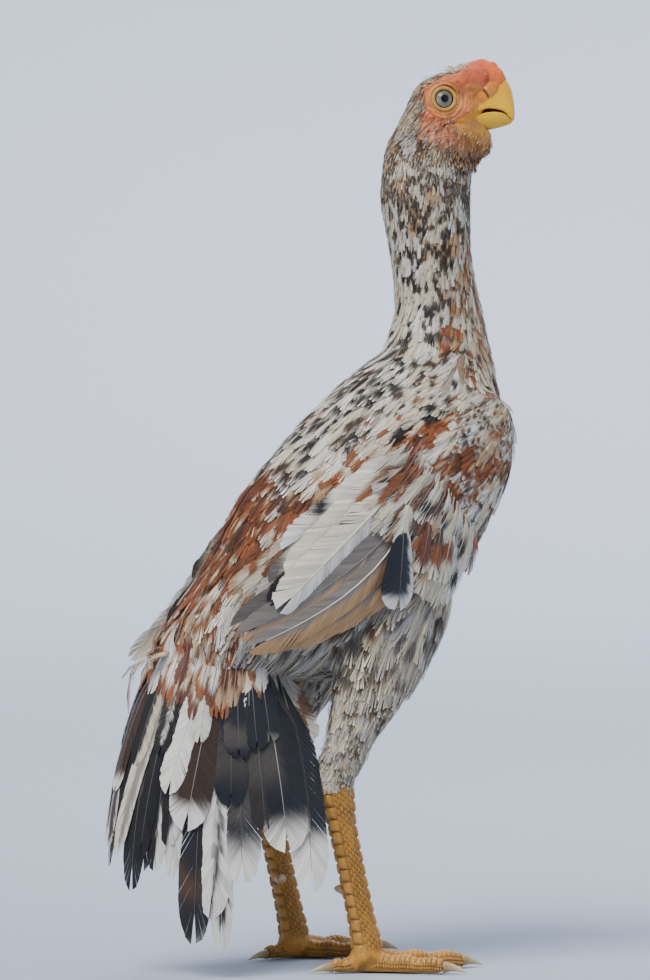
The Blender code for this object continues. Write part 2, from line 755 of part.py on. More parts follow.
def straight(first, last):
    """Path between two places of a sheet."""
    first = np.asarray(first)
    last = np.asarray(last)
    return lambda share: first + (last - first) * share


def wing_sheet(side):
    """Curved sheet of a folded wing: place down it, place up across it, distance out."""

    def place(s, t, out):
        flat = WING_ORIGIN + WING_ALONG * s + WING_UP * t
        fall = (WING_FALL_UP if t > 0.0 else WING_FALL_LOW) * (t / 40.0) ** 2
        reach = float(np.interp(s, WING_PLACES, WING_OUT)) - fall + out
        return np.array([flat[0], side * reach, flat[1]])

    return place


def flight_level(t):
    """Distance out of the flight feathers that are rooted at a place across the wing."""
    low = FLIGHT_FEATHERS[0][0][1]
    high = FLIGHT_FEATHERS[-1][0][1]
    return FLIGHT_LOW + FLIGHT_STEP * (len(FLIGHT_FEATHERS) - 1) * (t - low) / (high - low)


def wing_core(side, label, sheet):
    """Arm of the wing with its small feathers, deep enough to be cut to the body's shape."""
    rings = []
    for s, low, high, depth in smooth_rows(WING_CORE, 2):
        ring = []
        for x in WING_CORE_PLACES:
            ring.append(sheet(s, 0.5 * (low + high + (high - low) * x), -depth - WING_CORE_ROUND * x**4))
        for x in reversed(WING_CORE_PLACES):
            ring.append(sheet(s, 0.5 * (low + high + (high - low) * x), -depth - WING_CORE_DEPTH))
        rings.append(np.array(ring))
    return solid("wing_" + label, *loft(rings))


def build_wing(side, label, neighbours):
    """Folded wing: arm, flight feathers and two rows of coverts, on the side of the body."""
    sheet = wing_sheet(side)
    wing = wing_core(side, label, sheet)
    vanes = []
    for number, (root, tip, half) in enumerate(FLIGHT_FEATHERS):
        level = FLIGHT_LOW + FLIGHT_STEP * number
        vanes.append(feather(sheet, straight(root, tip), BLADE, half, FLIGHT_SINK, level, FLIGHT_TILT))
    for count, start, low, high, length, half, turns, lift in COVERT_ROWS:
        for number in range(count):
            share = number / (count - 1)
            t = low + (high - low) * share
            turn = math.radians(turns[0] + (turns[1] - turns[0]) * share)
            tip = (start + length * math.cos(turn), t - length * math.sin(turn))
            level = flight_level(t) + lift
            path = straight((start, t), tip)
            vanes.append(feather(sheet, path, SHORT_BLADE, half, COVERT_SINK, level, COVERT_TILT))
    root, tip, half, lift = LOOSE_COVERT
    level = flight_level(root[1]) + lift
    vanes.append(feather(sheet, straight(root, tip), BLADE, half, COVERT_SINK, level, 0.0))
    apply_boolean(wing, "UNION", vanes)
    return carve(wing, neighbours)


def arc_table(arc):
    """Points along a quadratic arc and their distances from its start."""
    first, middle, last = (np.asarray(p) for p in arc)
    q = np.linspace(0.0, 1.0, ARC_POINTS)[:, None]
    places = (1 - q) ** 2 * first + 2 * q * (1 - q) * middle + q * q * last
    steps = np.linalg.norm(np.diff(places, axis=0), axis=1)
    return places, np.concatenate([[0.0], np.cumsum(steps)])


def tail_arc(z):
    """Arc across the tail at a height, and its length."""
    share = np.clip((TAIL_TOP_Z - z) / (TAIL_TOP_Z - TAIL_LOW_Z), 0.0, 1.0)
    spread = 1.0 - (1.0 - share) ** TAIL_FLARE
    root = np.asarray(TAIL_ROOT_ARC)
    tip = np.asarray(TAIL_TIP_ARC)
    return arc_table(root + (tip - root) * spread)


def tail_sheet(side):
    """Curved sheet of half the tail: height, place from the ridge round to the side, distance out."""

    def place(z, across, out):
        places, lengths = tail_arc(z)
        across = max(across, 0.0)
        here = np.array([np.interp(across, lengths, places[:, k]) for k in (0, 1)])
        end = places[-1] - places[-2]
        ahead = np.array([np.interp(across, lengths[1:], np.diff(places[:, k])) for k in (0, 1)])
        ahead /= np.linalg.norm(ahead)
        here = here + end / np.linalg.norm(end) * max(0.0, across - lengths[-1])
        here = here + np.array([-ahead[1], ahead[0]]) * out
        return np.array([here[0], side * max(here[1], 0.5 * GAP), z])

    return place


def joint_height(x):
    """Height of the slanting cut between the torso and the tail."""
    return TAIL_JOINT_Z + TAIL_JOINT_SLOPE * (x - TAIL_JOINT_X)


def tail_path(root_share, tip_share, tip_z):
    """Path of a tail feather from below the joint down to its tip."""
    places, lengths = tail_arc(TAIL_TOP_Z)
    root_x = np.interp(root_share * lengths[-1], lengths, places[:, 0])
    root_z = joint_height(root_x) - TAIL_ROOT_DROP

    def path(share):
        z = root_z + (tip_z - root_z) * share
        across = (root_share + (tip_share - root_share) * share) * tail_arc(z)[1][-1]
        return z, across

    return path


def tail_core(side, label, sheet):
    """Half of the tail's fleshy root, flat on the midplane."""
    rings = []
    for drop, scale in TAIL_CORE:
        ring = []
        for share in TAIL_CORE_PLACES:
            path = tail_path(share, share, 0.0)
            z, across = path(0.0)
            point = sheet(z, across, TAIL_CORE_OUT)
            point[2] = joint_height(point[0]) + drop
            ring.append(point)
        ring.append(ring[-1] * [1.0, 0.0, 1.0] + [0.0, side * 0.5 * GAP, 0.0])
        ring = np.array(ring)
        centre = ring.mean(axis=0) * [1.0, 0.0, 1.0] + [0.0, side * 0.5 * GAP, 0.0]
        rings.append(centre + (ring - centre) * scale)
    return solid("tail_" + label, *loft(rings))


def build_tail(side, label, torso):
    """Half of the drooping tail: a fan of quills under three sets of coverts."""
    sheet = tail_sheet(side)
    tail = tail_core(side, label, sheet)
    vanes = []
    for feathers, low, step in TAIL_FEATHER_SETS:
        shape = BLADE if feathers is RECTRICES else SHORT_BLADE
        for number, (root, tip, half, *heights) in enumerate(feathers):
            path = tail_path(root, tip, heights[0 if side < 0 else 1])
            vanes.append(feather(sheet, path, shape, half, TAIL_SINK, low + step * number, TAIL_TILT))
    apply_boolean(tail, "UNION", vanes)
    return carve(tail, [torso])


def main():
    for old in list(bpy.data.objects):
        bpy.data.objects.remove(old)
    neck, torso = build_spine()
    head_parts = build_head()
    nodes = [neck, torso, *head_parts]
    for side, label in ((-1, "R"), (1, "L")):
        leg = build_leg(side, label, torso)
        wing = build_wing(side, label, [torso, leg[0]])
        tail = build_tail(side, label, torso)
        nodes += [*leg, wing, tail]
    feather = material("feather", FEATHER, 0.8)
    horn = material("horn", HORN, 0.4)
    scale = material("scale", SCALE, 0.55)
    skin = material("skin", SKIN, 0.6)
    black = material("black", BLACK, 0.15)
    looks = {"beak": horn, "claw": horn, "shank": scale, "foot": scale}
    looks.update({"comb": skin, "head": skin, "eye": black})
    for node in nodes:
        node.data.materials.clear()
        node.data.materials.append(looks.get(node.name.split("_")[0], feather))
        node.data.shade_smooth()
        node.data.set_sharp_from_angle(angle=SHARP_ANGLE)


main()
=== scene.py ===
import math

import bmesh
import bpy
import numpy as np
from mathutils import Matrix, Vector
from mathutils.bvhtree import BVHTree
from mathutils.kdtree import KDTree


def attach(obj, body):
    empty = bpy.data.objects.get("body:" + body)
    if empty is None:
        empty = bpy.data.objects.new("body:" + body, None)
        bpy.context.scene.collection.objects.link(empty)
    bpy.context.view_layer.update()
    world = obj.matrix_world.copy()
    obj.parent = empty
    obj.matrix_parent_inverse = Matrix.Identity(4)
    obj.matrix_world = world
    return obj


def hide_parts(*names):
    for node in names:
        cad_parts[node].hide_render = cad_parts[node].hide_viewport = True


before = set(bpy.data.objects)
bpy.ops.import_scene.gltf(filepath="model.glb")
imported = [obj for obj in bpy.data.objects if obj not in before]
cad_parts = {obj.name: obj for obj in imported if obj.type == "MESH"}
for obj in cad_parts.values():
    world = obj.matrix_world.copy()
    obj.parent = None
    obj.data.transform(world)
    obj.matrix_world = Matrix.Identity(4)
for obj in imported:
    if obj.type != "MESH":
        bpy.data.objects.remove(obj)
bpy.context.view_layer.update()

# All sizes are in millimetres in the bird's own frame: it faces +X, its right side is at -Y and the
# floor is Z = 0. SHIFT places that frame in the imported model, as in the part's source.
MM = 0.001
SHIFT = np.array([14.6, 0.0, 0.0])
RNG = np.random.default_rng(7)

# Head frame, repeated from the part's source
HEAD_PIVOT = np.array([60.6, 0.0, 3.4])
HEAD_TURN = math.radians(-28.0)
HEAD_LEVELS = (
    (434.0, -25.2, 25.5, 24.4, 0.06),
    (441.0, -24.0, 31.0, 21.5, 0.16),
    (448.0, -20.5, 32.0, 18.5, 0.24),
    (455.0, -17.5, 31.0, 17.0, 0.32),
    (462.0, -14.6, 31.0, 16.2, 0.36),
    (469.0, -12.0, 34.0, 15.6, 0.38),
    (475.0, -8.0, 37.5, 14.6, 0.36),
    (480.0, -1.5, 38.0, 12.4, 0.28),
    (483.5, 8.0, 36.0, 8.6, 0.18),
    (485.0, 15.0, 30.0, 4.0, 0.0),
)
EYE_PLACE = np.array([8.4, 15.7, 465.4])
EYE_GAZE = np.array([0.23, 0.97, 0.03])
EYE_RADIUS = 6.4
EYE_SEAT = 4.6
IRIS = 4.5
PUPIL = 2.05

# Lids: distance from the gaze's axis and height above the eyeball's middle
LID_PROFILE = (
    (4.8, 3.9), (4.85, 4.5), (5.2, 5.1), (5.9, 5.45), (6.7, 5.15), (7.2, 4.3), (7.7, 4.7), (8.4, 3.9),
    (9.4, 1.6),
)

# Soft forms of the face: centre and half sizes of brow, cheek, ear lobe and throat
FACE_BULBS = (
    ((10.5, 13.0, 474.2), (9.5, 3.6, 2.8)),
    ((17.5, 11.2, 460.0), (8.0, 3.4, 4.4)),
    ((-1.5, 14.6, 447.6), (3.6, 3.8, 4.6)),
    ((22.5, 3.0, 442.0), (11.0, 6.4, 8.0)),
    ((26.5, 2.5, 446.6), (9.0, 5.6, 5.0)),
    ((19.6, 2.5, 435.0), (9.0, 6.0, 9.0)),
)

# Edge of the feathers round the bare face: heights and places along the head
FACE_EDGE_Z = (436.0, 440.0, 451.0, 459.0, 467.0, 472.5, 475.5, 478.0, 481.0, 486.0)
FACE_EDGE_X = (0.0, -6.0, -5.5, -3.4, -3.8, -2.2, 2.0, 9.0, 17.0, 22.0)

# Bill, by stations from the face to the tip: place, top, lower edge, half width
BILL_UPPER = (
    (16.0, 470.0, 452.6, 9.8),
    (20.0, 474.4, 454.2, 9.6),
    (24.3, 476.6, 457.0, 9.0),
    (28.0, 479.2, 459.2, 8.3),
    (32.4, 480.4, 460.7, 7.5),
    (36.7, 480.4, 460.5, 6.7),
    (40.5, 479.0, 459.6, 6.0),
    (43.2, 476.4, 457.8, 5.2),
    (45.4, 472.4, 455.4, 4.2),
    (46.7, 467.0, 454.8, 3.0),
    (47.4, 461.4, 456.0, 1.2),
)
BILL_LOWER = (
    (15.0, 451.6, 446.0, 9.4),
    (20.0, 453.4, 447.4, 9.2),
    (25.0, 456.4, 448.6, 8.3),
    (30.0, 458.5, 449.4, 7.0),
    (35.0, 459.4, 450.0, 6.3),
    (39.0, 459.2, 451.0, 5.3),
    (42.6, 458.4, 452.0, 4.1),
    (45.0, 457.2, 453.0, 2.9),
    (46.2, 455.8, 454.2, 1.2),
)
MOUTH = (
    (13.0, 455.5, 449.0, 6.5),
    (20.0, 457.0, 451.5, 6.0),
    (26.0, 460.0, 454.0, 5.4),
    (32.0, 462.5, 456.0, 4.8),
    (38.0, 462.0, 456.0, 3.8),
    (41.5, 460.0, 455.0, 2.4),
    (44.4, 458.6, 455.4, 1.6),
)
NOSTRIL = (31.6, 469.0)

# Edge of the orange skin over the bill's base: heights and places along the head
CERE_EDGE_Z = (452.0, 456.0, 460.0, 464.0, 467.0, 471.0, 475.0, 479.0)
CERE_EDGE_X = (13.0, 16.5, 22.0, 28.5, 34.0, 37.6, 38.6, 40.0)

# Muzzle between face and bill, by stations: place, top, lower edge, half width
MUZZLE = (
    (2.0, 480.0, 450.0, 14.0),
    (10.0, 481.0, 450.5, 13.2),
    (17.0, 481.0, 451.5, 11.4),
    (23.0, 480.5, 454.0, 9.6),
    (28.0, 479.5, 458.0, 8.3),
    (31.0, 478.0, 460.5, 7.0),
)

# Pea comb: length along the head, height and radius of its bulbs
COMB_MIDDLE_ROW = (
    (21.5, 483.4, 2.6),
    (25.2, 484.6, 3.4),
    (30.0, 485.4, 3.6),
    (34.6, 484.2, 3.4),
    (38.4, 481.2, 2.6),
    (41.0, 477.4, 2.0),
)
COMB_SIDE_ROW = ((23.5, 482.0, 2.4), (27.0, 482.4, 2.7), (31.5, 481.8, 2.8), (35.6, 479.6, 2.2))
COMB_SPREAD = 3.9
COMB_CORE = (
    ((28.0, 0.0, 480.4), (10.0, 6.8, 7.8)),
    ((34.6, 0.0, 478.4), (7.4, 6.4, 7.2)),
    ((37.0, 0.0, 476.0), (5.4, 5.9, 5.8)),
)

# Wing frame, repeated from the part's source
WING_ORIGIN = np.array([88.0, 303.0])
WING_ALONG = np.array([-0.774, -0.633])
WING_UP = np.array([-0.633, 0.774])
WING_PLACES = (0.0, 10.0, 30.0, 50.0, 70.0, 90.0, 110.0, 130.0, 150.0, 170.0, 190.0, 205.0)
WING_OUT = (50.0, 53.5, 59.5, 62.5, 64.5, 65.0, 64.5, 62.0, 57.5, 52.0, 46.0, 41.5)
WING_FALL_UP = 17.0
WING_FALL_LOW = 5.0
WING_CORE = (
    (-1.0, -6.0, 8.0, 2.4),
    (8.0, -19.0, 19.0, 0.8),
    (28.0, -33.0, 29.0, 0.0),
    (60.0, -41.0, 33.0, 0.0),
    (88.0, -40.0, 34.0, 0.8),
    (106.0, -36.0, 33.0, 2.6),
    (120.0, -28.0, 26.0, 4.8),
)

# Tail arcs, repeated from the part's source
TAIL_TOP_Z = 170.0
TAIL_LOW_Z = 45.0
TAIL_ROOT_ARC = ((-99.0, 0.3), (-98.0, 30.0), (-42.0, 18.0))
TAIL_TIP_ARC = ((-131.0, 0.3), (-129.0, 26.0), (-38.0, 54.0))
TAIL_FLARE = 2.2
TAIL_JOINT_X = -109.0
TAIL_JOINT_SLOPE = -0.257
TAIL_JOINT_Z = 171.6

# Fleshy root of the tail below the torso: place, height, half length, half width
TAIL_ROOT = ((-70.0, 172.0, 30.0, 28.0), (-78.0, 150.0, 23.0, 22.0), (-86.0, 128.0, 14.0, 16.0))

# Behind RUMP_FROM the feathers hang down instead of turning under the body, and those that reach past
# RUMP_END are drawn in
RUMP_FROM = -76.0
RUMP_END = -132.5

# Shank and toes, repeated from the part's source
SHANK_LEVELS = (
    (108.0, -31.0, -9.0, 42.0, 8.8),
    (102.7, -29.6, -10.4, 42.0, 8.6),
    (96.0, -29.4, -9.4, 42.0, 9.2),
    (88.0, -26.4, -8.6, 42.0, 8.4),
    (78.0, -22.4, -7.6, 42.0, 6.8),
    (50.0, -15.4, -1.4, 42.0, 6.2),
    (28.0, -10.4, 4.0, 42.0, 6.6),
    (16.0, -8.4, 7.4, 42.0, 7.6),
    (8.0, -7.4, 6.4, 42.0, 7.0),
)
FOOT_CENTRE = np.array([0.0, 42.0, 0.0])
TOES = (
    (4.0, 56.0, 6.6, 4.6, 17),
    (40.0, 42.0, 5.8, 4.2, 13),
    (-34.0, 40.0, 5.8, 4.2, 13),
    (-168.0, 20.0, 5.0, 3.8, 6),
)
TOE_REST = 0.8
CLAW_LENGTH = 12.0
CLAW_STATIONS = ((0.0, 0.74, 1.0), (0.35, 0.52, 0.95), (0.7, 0.3, 0.67), (1.0, 0.07, 0.29))
SPUR_PLACE = np.array([-7.2, 42.0, 44.0])
SPUR_STATIONS = ((0.0, 1.0), (0.35, 0.92), (0.6, 0.72), (0.85, 0.46), (0.97, 0.22), (1.0, 0.04))

# Heights where the neck ends in the body and where the legs end in the thighs
NECK_ROOT = 345.0
LEG_TOP = 112.0

# Size of the voxels that fuse the forms of the skin and of the comb, and rounds of smoothing after it
SKIN_VOXEL = 2.2
SKIN_SMOOTHING = 4
COMB_VOXEL = 0.5
COMB_SMOOTHING = 44

# Height of the topmost plates of the shank, angles of the large plates round the shank, and of the side
# plates round the toes
PLATES_TOP = 106.0
SHANK_PLATES = ((-1.02, 0.02), (-0.02, 1.02), (2.15, 3.16), (3.12, 4.13))
TOE_PLATES = ((0.12, 0.55), (-0.32, 0.13), (2.59, 3.02), (3.01, 3.46))

# The photo's framing: metres per pixel, height in pixels, distance of the camera and height of its sensor,
# directions to the photo's right and away from the camera, and the place of the photo's middle
PHOTO_SCALE = 0.54e-3
PHOTO_HEIGHT = 980.0
CAMERA_DISTANCE = 2.4
SENSOR_HEIGHT = 24.0
PHOTO_SIDE = np.array([0.883, -0.469, 0.0])
PHOTO_AWAY = np.array([0.469, 0.883, 0.0])
PHOTO_SHIFT = -2.7
PHOTO_LEVEL = 256.5
PHOTO_MIDDLE = (325.0, 490.0)
PHOTO_TARGET = PHOTO_SIDE * PHOTO_SHIFT + [SHIFT[0], 0.0, PHOTO_LEVEL]

# Floor in metres: where its flat part ends and the radius of the bend up to the wall
FLOOR_REACH = 4.0
FLOOR_BEND = 1.6

# Colours of the living bird, and painted shades, as linear red, green and blue
CREAM = np.array([0.82, 0.73, 0.55])
WHITE = np.array([0.90, 0.86, 0.78])
GREY = np.array([0.38, 0.34, 0.29])
TAN = np.array([0.50, 0.33, 0.18])
RUST = np.array([0.23, 0.070, 0.022])
MAHOGANY = np.array([0.105, 0.033, 0.016])
BROWN = np.array([0.075, 0.042, 0.026])
BLACK = np.array([0.012, 0.011, 0.012])
BLUE_BLACK = np.array([0.010, 0.012, 0.018])
FACE_RED = np.array([0.60, 0.115, 0.045])
FACE_ORANGE = np.array([0.66, 0.19, 0.055])
BILL_YELLOW = np.array([0.96, 0.52, 0.005])
MUZZLE_ORANGE = np.array([0.62, 0.21, 0.05])
CHEEK_PINK = np.array([0.56, 0.25, 0.15])
THROAT_OCHRE = np.array([0.52, 0.25, 0.05])
GAPE_YELLOW = np.array([0.80, 0.34, 0.02])
LID_OCHRE = np.array([0.62, 0.26, 0.06])
PEARL = np.array([0.18, 0.195, 0.155])
IRIS_BROWN = np.array([0.42, 0.36, 0.30])
PUPIL_BLACK = np.array([0.004, 0.004, 0.005])
EYE_RIM = np.array([0.020, 0.022, 0.022])
LID_YELLOW = np.array([0.60, 0.31, 0.06])
LID_RED = np.array([0.70, 0.24, 0.10])
# Painted shade in the upper lid's fold
LID_FOLD_SHADE = np.array([0.30, 0.09, 0.04])
LID_EDGE = np.array([0.05, 0.035, 0.03])
BILL_AMBER = np.array([0.84, 0.38, 0.008])
BILL_TIP = np.array([0.30, 0.15, 0.04])
CERE_ORANGE = np.array([0.70, 0.23, 0.025])
CERE_RED = np.array([0.72, 0.13, 0.030])
CERE_PALE = np.array([0.66, 0.34, 0.07])
# Painted shade inside the nostrils
NOSTRIL_SHADE = np.array([0.035, 0.015, 0.01])
JAW_YELLOW = np.array([0.92, 0.50, 0.008])
JAW_ROOT = np.array([0.62, 0.22, 0.06])
# Painted shade on the underside of the lower bill
JAW_UNDER_SHADE = np.array([0.56, 0.28, 0.02])
# Painted shade in the mouth's gap
MOUTH_SHADE = np.array([0.10, 0.02, 0.015])
COMB_RED = np.array([0.73, 0.100, 0.034])
COMB_ORANGE = np.array([0.82, 0.18, 0.025])
COMB_PINK = np.array([0.76, 0.17, 0.06])
COMB_PIT = np.array([0.25, 0.06, 0.03])
SPUR_HORN = np.array([0.50, 0.34, 0.16])
CLAW_ROOT = np.array([0.40, 0.26, 0.11])
CLAW_TIP = np.array([0.62, 0.50, 0.30])
LEG_OCHRE = np.array([0.56, 0.26, 0.035])
SOLE_TAN = np.array([0.50, 0.33, 0.12])
BUFF = np.array([0.50, 0.29, 0.13])
SMOKE = np.array([0.064, 0.056, 0.050])
IVORY = np.array([0.82, 0.77, 0.62])

# A place across or along a feather that no vane reaches
BEYOND = 3.0

# How many roots are tried for small feathers and bristles, the distance kept between bristles, and the barbs
# on each side of a large feather
BODY_TRIES = 150000
BRISTLE_TRIES = 110000
BRISTLE_GAP = 0.50
QUILL_BARBS = 30

# Right and left
SIDES = ((-1, "R"), (1, "L"))

def smooth_rows(rows, steps):
    """Rows of numbers with steps smooth intervals between each two of them."""
    rows = np.asarray(rows, dtype=float)
    padded = np.vstack([2 * rows[0] - rows[1], rows, 2 * rows[-1] - rows[-2]])
    out = []
    for i in range(1, len(padded) - 2):
        before, here, there, beyond = padded[i - 1 : i + 3]
        for k in range(steps):
            t = k / steps
            out.append(
                here
                + 0.5 * t * (there - before)
                + t * t * (before - 2.5 * here + 2 * there - 0.5 * beyond)
                + t**3 * (1.5 * (here - there) + 0.5 * (beyond - before))
            )
    out.append(rows[-1])
    return np.array(out)


def noise3(points, size, seed=0.0):
    """Smooth value noise between 0 and 1 at points in millimetres."""
    place = np.asarray(points, dtype=float) / size + seed * 17.13
    cell = np.floor(place)
    part = place - cell
    part = part * part * (3 - 2 * part)
    total = np.zeros(len(place))
    for corner in np.ndindex(2, 2, 2):
        x, y, z = (cell + corner).T
        value = np.modf(np.abs(np.sin(x * 127.1 + y * 311.7 + z * 74.7) * 43758.5453))[0]
        total += value * np.abs(1 - np.array(corner) - part).prod(axis=1)
    return total


def rough(points, size, seed=0.0):
    """Smooth noise between -0.5 and 0.5 at points in millimetres."""
    return noise3(points, size, seed) - 0.5


def bell(*offsets):
    """Falls smoothly from 1 where all the offsets are zero."""
    return np.exp(-sum(offset**2 for offset in offsets))


def step(low, high, value):
    """Smooth step from 0 at low to 1 at high."""
    share = np.clip((value - low) / (high - low), 0.0, 1.0)
    return share * share * (3 - 2 * share)


def unit(vectors):
    """Vectors of length one along the last axis."""
    return vectors / np.maximum(np.linalg.norm(vectors, axis=-1, keepdims=True), 1e-9)


def mixed(first, second, share):
    """Colours between two, by a share for each row."""
    first = np.asarray(first, dtype=float)
    return first + (second - first) * np.asarray(share)[..., None]


def layered(colour, *layers):
    """Colour with others laid over it in turn, each with its share for each row."""
    for other, share in layers:
        colour = mixed(colour, other, share)
    return colour


def turned(points, angle):
    """Points turned about the vertical."""
    cos, sin = math.cos(angle), math.sin(angle)
    result = points.copy()
    result[..., 0] = points[..., 0] * cos - points[..., 1] * sin
    result[..., 1] = points[..., 0] * sin + points[..., 1] * cos
    return result


def in_head(points):
    """Points of the head's own frame in the bird's frame."""
    return turned(np.asarray(points, dtype=float), HEAD_TURN) + HEAD_PIVOT


def to_head(points):
    """Points of the bird's frame in the head's own frame."""
    return turned(np.asarray(points, dtype=float) - HEAD_PIVOT, -HEAD_TURN)


def round_turn(sides):
    """Evenly spaced angles round a full turn."""
    return np.linspace(0.0, 2 * math.pi, sides, endpoint=False)


def spokes(turn, across, up):
    """Directions at angles from one axis towards another."""
    return np.outer(np.cos(turn), across) + np.outer(np.sin(turn), up)


def linked(name, data):
    """New object in the scene."""
    made = bpy.data.objects.new(name, data)
    bpy.context.scene.collection.objects.link(made)
    return made


def make(name, points, faces):
    """Smooth mesh object from points in millimetres of the bird's frame."""
    mesh = bpy.data.meshes.new(name)
    points = (np.asarray(points, dtype=float) + SHIFT) * MM
    faces = np.asarray(faces, dtype=np.int32)
    count, sides = faces.shape
    mesh.vertices.add(len(points))
    mesh.vertices.foreach_set("co", points.astype(np.float32).ravel())
    mesh.loops.add(count * sides)
    mesh.loops.foreach_set("vertex_index", faces.ravel())
    mesh.polygons.add(count)
    mesh.polygons.foreach_set("loop_start", np.arange(0, count * sides, sides, dtype=np.int32))
    mesh.update(calc_edges=True)
    mesh.polygons.foreach_set("use_smooth", np.ones(count, dtype=bool))
    return linked(name, mesh)


def reshaped(made, change):
    """Changes the mesh of an object by a function that edits it."""
    edit = bmesh.new()
    edit.from_mesh(made.data)
    change(edit)
    edit.to_mesh(made.data)
    edit.free()
    return made


def face_outwards(edit):
    """Turns the faces of an edited mesh outwards."""
    bmesh.ops.recalc_face_normals(edit, faces=edit.faces)


def grid_faces(rows, columns):
    """Quads of an open grid."""
    first = (np.arange(rows)[:, None] * (columns + 1) + np.arange(columns)).ravel()
    return np.stack([first, first + 1, first + columns + 2, first + columns + 1], axis=1)


def copied_faces(faces, count, each):
    """Faces repeated for many copies of a mesh that has so many points each."""
    return (faces[None] + (np.arange(count) * each)[:, None, None]).reshape(-1, 4)


def tube_faces(rows, sides):
    """Quads of a grid that closes round on itself."""
    here = np.arange((rows - 1) * sides)
    after = here - here % sides + (here + 1) % sides
    return np.stack([here, after, after + sides, here + sides], axis=1)


def tube(name, rings):
    """Open object through rings of equal size."""
    return make(name, np.concatenate(rings), tube_faces(len(rings), len(rings[0])))


def loft_object(name, rings):
    """Closed object through rings of equal size, with its ends drawn to a point."""
    ends = [np.tile(ring.mean(axis=0), (len(ring), 1)) for ring in (rings[0], rings[-1])]

    def close(edit):
        bmesh.ops.remove_doubles(edit, verts=edit.verts, dist=1e-7)
        face_outwards(edit)

    return reshaped(tube(name, [ends[0], *rings, ends[1]]), close)


def paint(made, colours):
    """Stores a colour for each point of a mesh, or one for all of them."""
    layer = made.data.attributes.new("Col", "FLOAT_COLOR", "POINT")
    full = np.ones((len(made.data.vertices), 4), dtype=np.float32)
    full[:, :3] = np.clip(colours, 0.0, 1.0)
    layer.data.foreach_set("color", full.ravel())


def vertex_rows(made, key):
    """Places or normals of a mesh's points, one for each row."""
    flat = np.empty(len(made.data.vertices) * 3)
    made.data.vertices.foreach_get(key, flat)
    return flat.reshape(-1, 3)


def points_of(made):
    """Points of a mesh in millimetres of the bird's frame."""
    return vertex_rows(made, "co") / MM - SHIFT


def normals_of(made):
    """Point normals of a mesh."""
    return vertex_rows(made, "normal")


def put_points(made, points):
    """Moves the points of a mesh to places in millimetres."""
    made.data.vertices.foreach_set("co", ((points + SHIFT) * MM).astype(np.float32).ravel())
    made.data.update()


def modified(made, kind, **settings):
    """Applies a modifier with its settings to an object."""
    change = made.modifiers.new("change", kind)
    for key, value in settings.items():
        setattr(change, key, value)
    view = bpy.context.evaluated_depsgraph_get()
    view.update()
    mesh = bpy.data.meshes.new_from_object(made.evaluated_get(view))
    made.modifiers.clear()
    made.data = mesh
    return made


def fused(name, objects, size, smoothing):
    """One object from several, fused by voxels of a size in millimetres and smoothed."""
    edit = bmesh.new()
    for part in objects:
        edit.from_mesh(part.data)
        bpy.data.objects.remove(part)
    mesh = bpy.data.meshes.new(name)
    edit.to_mesh(mesh)
    edit.free()
    made = modified(linked(name, mesh), "REMESH", mode="VOXEL", voxel_size=size * MM, use_smooth_shade=True)
    return modified(made, "SMOOTH", iterations=smoothing, factor=0.5)


# Materials


def node(tree, kind, links=(), **values):
    """Node with its settings, constant inputs and links."""
    made = tree.nodes.new(kind)
    for key, value in values.items():
        if hasattr(made, key):
            setattr(made, key, value)
        else:
            made.inputs[key.replace("_", " ")].default_value = value
    for socket, source in links:
        tree.links.new(source, made.inputs[socket])
    return made


def surface(name, **constants):
    """Principled material with constant inputs, its node tree and shader, and the painted colour."""
    made = bpy.data.materials.new(name)
    made.use_nodes = True
    tree = made.node_tree
    shader = tree.nodes["Principled BSDF"]
    for key, value in constants.items():
        shader.inputs[key.replace("_", " ")].default_value = value
    return made, tree, shader, node(tree, "ShaderNodeAttribute", attribute_name="Col").outputs["Color"]


def patterned(tree, shader, colour, pattern, stops, height, strength, depth):
    """Darkens the painted colour by a pattern through two stops of place and grey, and adds bumps."""
    shade = node(tree, "ShaderNodeValToRGB", [(0, pattern)])
    for element, (place, grey) in zip(shade.color_ramp.elements, stops):
        element.position = place
        element.color = (grey, grey, grey, 1.0)
    links = [(6, colour), (7, shade.outputs["Color"])]
    mix = node(tree, "ShaderNodeMix", links, data_type="RGBA", blend_type="MULTIPLY")
    mix.inputs[0].default_value = 1.0
    tree.links.new(mix.outputs[2], shader.inputs["Base Color"])
    bump = node(tree, "ShaderNodeBump", [("Height", height)], Strength=strength, Distance=depth)
    tree.links.new(bump.outputs[0], shader.inputs["Normal"])


def plumage_material(name, roughness, streak, gloss):
    """Feather surface with fine barbs that run out from the shaft."""
    made, tree, shader, colour = surface(
        name, Roughness=roughness, Specular_IOR_Level=gloss, Sheen_Weight=0.05, Sheen_Roughness=0.6
    )
    vane = node(tree, "ShaderNodeAttribute", attribute_name="vane").outputs["Vector"]
    noise = node(tree, "ShaderNodeTexNoise", [("Vector", vane)], Scale=1.0, Detail=3.0, Roughness=0.6)
    streaks = noise.outputs["Fac"]
    patterned(tree, shader, colour, streaks, ((0.25, 1.0 - streak), (0.7, 1.0)), streaks, 0.35, 0.0004)
    return made


def skin_material():
    """Bare skin with fine pimples and creases, and a soft glow of blood."""
    made, tree, shader, colour = surface(
        "skin_bare", Roughness=0.5, Specular_IOR_Level=0.4, Subsurface_Weight=0.15,
        Subsurface_Radius=(0.004, 0.0012, 0.0006)
    )
    place = node(tree, "ShaderNodeTexCoord").outputs["Object"]
    cells = node(tree, "ShaderNodeTexVoronoi", [("Vector", place)], Scale=900.0).outputs["Distance"]
    patches = node(tree, "ShaderNodeTexNoise", [("Vector", place)], Scale=260.0, Detail=4.0).outputs["Fac"]
    height = node(tree, "ShaderNodeMath", [(0, cells), (1, patches)], operation="ADD").outputs[0]
    patterned(tree, shader, colour, patches, ((0.3, 0.78), (0.65, 1.0)), height, 0.5, 0.0005)
    return made


